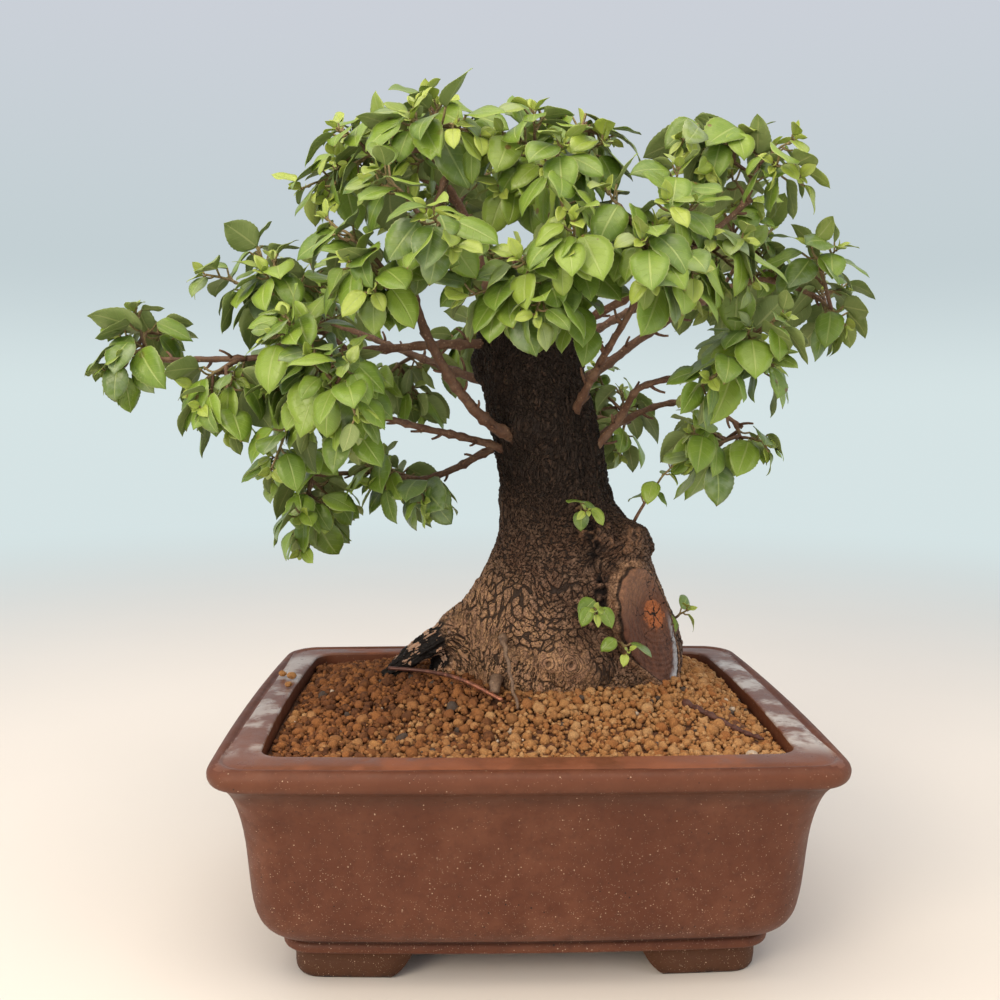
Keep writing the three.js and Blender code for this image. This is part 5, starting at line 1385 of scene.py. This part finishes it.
# each sprout on the trunk: its start, tip and leaf count
sprouts = {
    "sprout_waist": ((30, 0, 222), (33, -28, 225), 5),
    "sprout_shoulder": ((64, 8, 214), (82, -4, 246), 6),
    "sprout_cut_left": ((42, -10, 168), (37, -38, 173), 5),
    "sprout_cut_low": ((52, -6, 148), (54, -40, 152), 3),
    "sprout_cut_right": ((88, 22, 152), (96, 10, 163), 4),
}
foliage = {"old": (0.095, 0.165, 0.022), "mid": (0.165, 0.265, 0.030), "bright": (0.270, 0.380, 0.045),
           "young": (0.38, 0.46, 0.075), "under": (0.235, 0.300, 0.095), "vein": (0.36, 0.44, 0.13),
           "margin": (0.44, 0.48, 0.19), "spot": (0.16, 0.075, 0.025), "skySheen": (0.36, 0.43, 0.31)}


def makeLeafMaterial(s):
    material, tree, shader = newMaterial("glossyLeaf")
    where = place(tree)
    across, along, side = axes(tree, place(tree, (1, 1, 1), "leafPlace"))
    apart = calc(tree, "ABSOLUTE", across)
    tone, age = attribute(tree, "tone"), attribute(tree, "age")
    colour = mix(tree, rise(tree, tone, 0.0, 0.6), s["old"], s["mid"])
    colour = mix(tree, rise(tree, tone, 0.65, 1.0, 0.0, 0.65), colour, s["bright"])
    colour = mix(tree, rise(tree, age, 0.05, 0.9), colour, s["young"])
    colour = paint(tree, colour, s["bright"], use(tree, mottle, where, Scale=0.12, Low=0.4, High=0.7), 0.3)
    # side veins sweep forward from the midrib
    sweep = calc(tree, "SUBTRACT", along, times(tree, apart, 0.20))
    stripe = calc(tree, "ABSOLUTE", calc(tree, "SINE", times(tree, sweep, 21.0)))
    veins = times(tree, rise(tree, stripe, 0.20, 0.02), rise(tree, apart, 0.95, 0.6))
    midrib = rise(tree, apart, 0.085, 0.03)
    line = calc(tree, "MAXIMUM", midrib, times(tree, veins, 0.38))
    colour = paint(tree, colour, s["vein"], line, 0.62)
    colour = paint(tree, colour, s["margin"], rise(tree, apart, 0.93, 1.0), 0.55)
    # painted sheen: a pale grey-green reflection of the sky over the darker-toned leaves, in soft patches
    skySheen = times(tree, rise(tree, tone, 0.35, 0.0), rise(tree, noise(tree, where, 0.10, 3), 0.40, 0.60))
    colour = paint(tree, colour, s["skySheen"], skySheen, 0.38)
    pale = mix(tree, rise(tree, age, 0.2, 0.9), s["under"], s["young"])
    pale = paint(tree, pale, s["margin"], line, 0.7)
    colour = mix(tree, rise(tree, side, 0.55, 0.45), colour, pale)
    # a few brown spots and dry tips
    spotted = times(tree, use(tree, speckle, where, Scale=0.16, Size=0.32, Amount=0.35),
                    rise(tree, attribute(tree, "spots"), 0.86, 0.92))
    dryTip = times(tree, rise(tree, along, 0.93, 0.99), rise(tree, attribute(tree, "spots"), 0.2, 0.1))
    colour = paint(tree, colour, s["spot"], calc(tree, "MAXIMUM", spotted, dryTip), 0.8)
    put(tree, shader["Base Color"], colour)
    grain = noise(tree, where, 0.8, 4)
    dull = rise(tree, side, 0.55, 0.45, 0.36, 0.62)
    put(tree, shader["Roughness"], plus(tree, dull, rise(tree, grain, 0.3, 0.7, -0.05, 0.08)))
    shader["Specular IOR Level"].default_value = 0.5
    ridge = times(tree, calc(tree, "MAXIMUM", midrib, times(tree, veins, 0.6)), -1.0)
    put(tree, shader["Normal"], bump(tree, ridge, 0.5, 0.35, bump(tree, noise(tree, where, 0.35, 4), 0.35, 0.6)))
    return material


leafMaterial = makeLeafMaterial(foliage)
for order, name in enumerate(limbs):
    addPiece("branch_" + name[5:], makeLimb(name, order + 1), [limbWood], "branch_bark", name)
total = 0
for order, (name, (limb, share, *tips)) in enumerate(sprays.items()):
    highest = max(tip[2] for tip in tips)
    youth = float(np.clip((highest - 330) / 110, 0, 1))
    mesh, leaves = makeSpray("leaves_" + name[6:], shootsOf(name, limb, share, tips, order), youth)
    addPiece("leaves_" + name[6:], mesh, [leafMaterial, limbWood], "leaf", name)
    total += leaves
for order, (name, (start, tip, count)) in enumerate(sprouts.items()):
    curve = arch(np.array(start, float), np.array(tip, float))
    shoot = {"curve": curve, "seed": 700 + order * 7, "size": leafSettings["sprout"], "radius": 0.9, "count": count,
             "long": float(np.linalg.norm(curve[2] - curve[0])), "between": False}
    mesh, leaves = makeSpray("leaves_" + name, [shoot], 1.0)
    addPiece("leaves_" + name, mesh, [leafMaterial, limbWood], "leaf", name)
    total += leaves
print("leaves made:", total)


studio = {"floor": (0.80, 0.755, 0.70), "floorReach": 6000, "melt": (0.35, 1.9), "low": (0.745, 0.855, 0.865),
          "middle": (0.61, 0.70, 0.73), "high": (0.67, 0.70, 0.77), "world": 0.90,
          "warm": (1.0, 0.86, 0.68),
          # power, width and depth in metres, place, and the point each light looks at
          "lights": {"above": (14, 1.4, 1.0, (-0.15, -0.35, 1.35), (0.02, 0.0, 0.2)),
                     "front_left": (12.2, 0.7, 0.7, (-0.9, -1.1, 0.75), (0.0, 0.0, 0.22)),
                     "right": (3, 0.8, 0.8, (1.1, -0.5, 0.7), (0.0, 0.0, 0.22))}}


def makeStudio(s):
    heap = Heap()
    far = s["floorReach"]
    heap.add([(-far, -far, 0), (far, -far, 0), (far, far, 0), (-far, far, 0)], np.array([[0, 1, 2, 3]]))
    floor = newObject("floor", meshOf("floor", heap))
    material, tree, shader = newMaterial("paleFloor")
    # the cream floor melts into the sky's own colour far from the pot, so there is no horizon line
    across, deep, _ = axes(tree, place(tree, (1, 1, 1)))
    distance = calc(tree, "SQRT", plus(tree, times(tree, across, across), times(tree, deep, deep)))
    melt = rise(tree, distance, *s["melt"])
    cream = mix(tree, rise(tree, noise(tree, place(tree), 0.004, 2), 0.3, 0.7), s["floor"],
                tuple(c * 0.985 for c in s["floor"]))
    put(tree, shader["Base Color"], mix(tree, melt, cream, (0, 0, 0)))
    put(tree, shader["Emission Color"], mix(tree, melt, (0, 0, 0), tuple(c * s["world"] for c in s["low"])))
    shader["Emission Strength"].default_value = 1.0
    shader["Roughness"].default_value = 0.75
    shader["Specular IOR Level"].default_value = 0.0
    floor.data.materials.append(material)
    for name, (power, wide, deep, at, aim) in s["lights"].items():
        data = bpy.data.lights.new(name, "AREA")
        data.shape, data.size, data.size_y, data.energy = "RECTANGLE", wide, deep, power
        data.color = s["warm"]
        light = newObject(name, data)
        light.location = Vector(potMiddle) + Vector(at)
        light.rotation_euler = (Vector(aim) - Vector(at)).to_track_quat("-Z", "Y").to_euler()
    world = bpy.data.worlds.new("studio")
    bpy.context.scene.world = world
    world.use_nodes = True
    tree = world.node_tree
    background = next(n for n in tree.nodes if n.type == "BACKGROUND")
    up = axes(tree, newNode(tree, "TexCoord", {})["Generated"])[2]
    sky = mix(tree, rise(tree, up, 0.0, 0.14), s["low"], s["middle"])
    sky = mix(tree, rise(tree, up, 0.10, 0.42), sky, s["high"])
    tree.links.new(sky, background.inputs[0])
    background.inputs[1].default_value = s["world"]
    bpy.context.scene.view_settings.view_transform = "Standard"


makeStudio(studio)
print("studio lit")
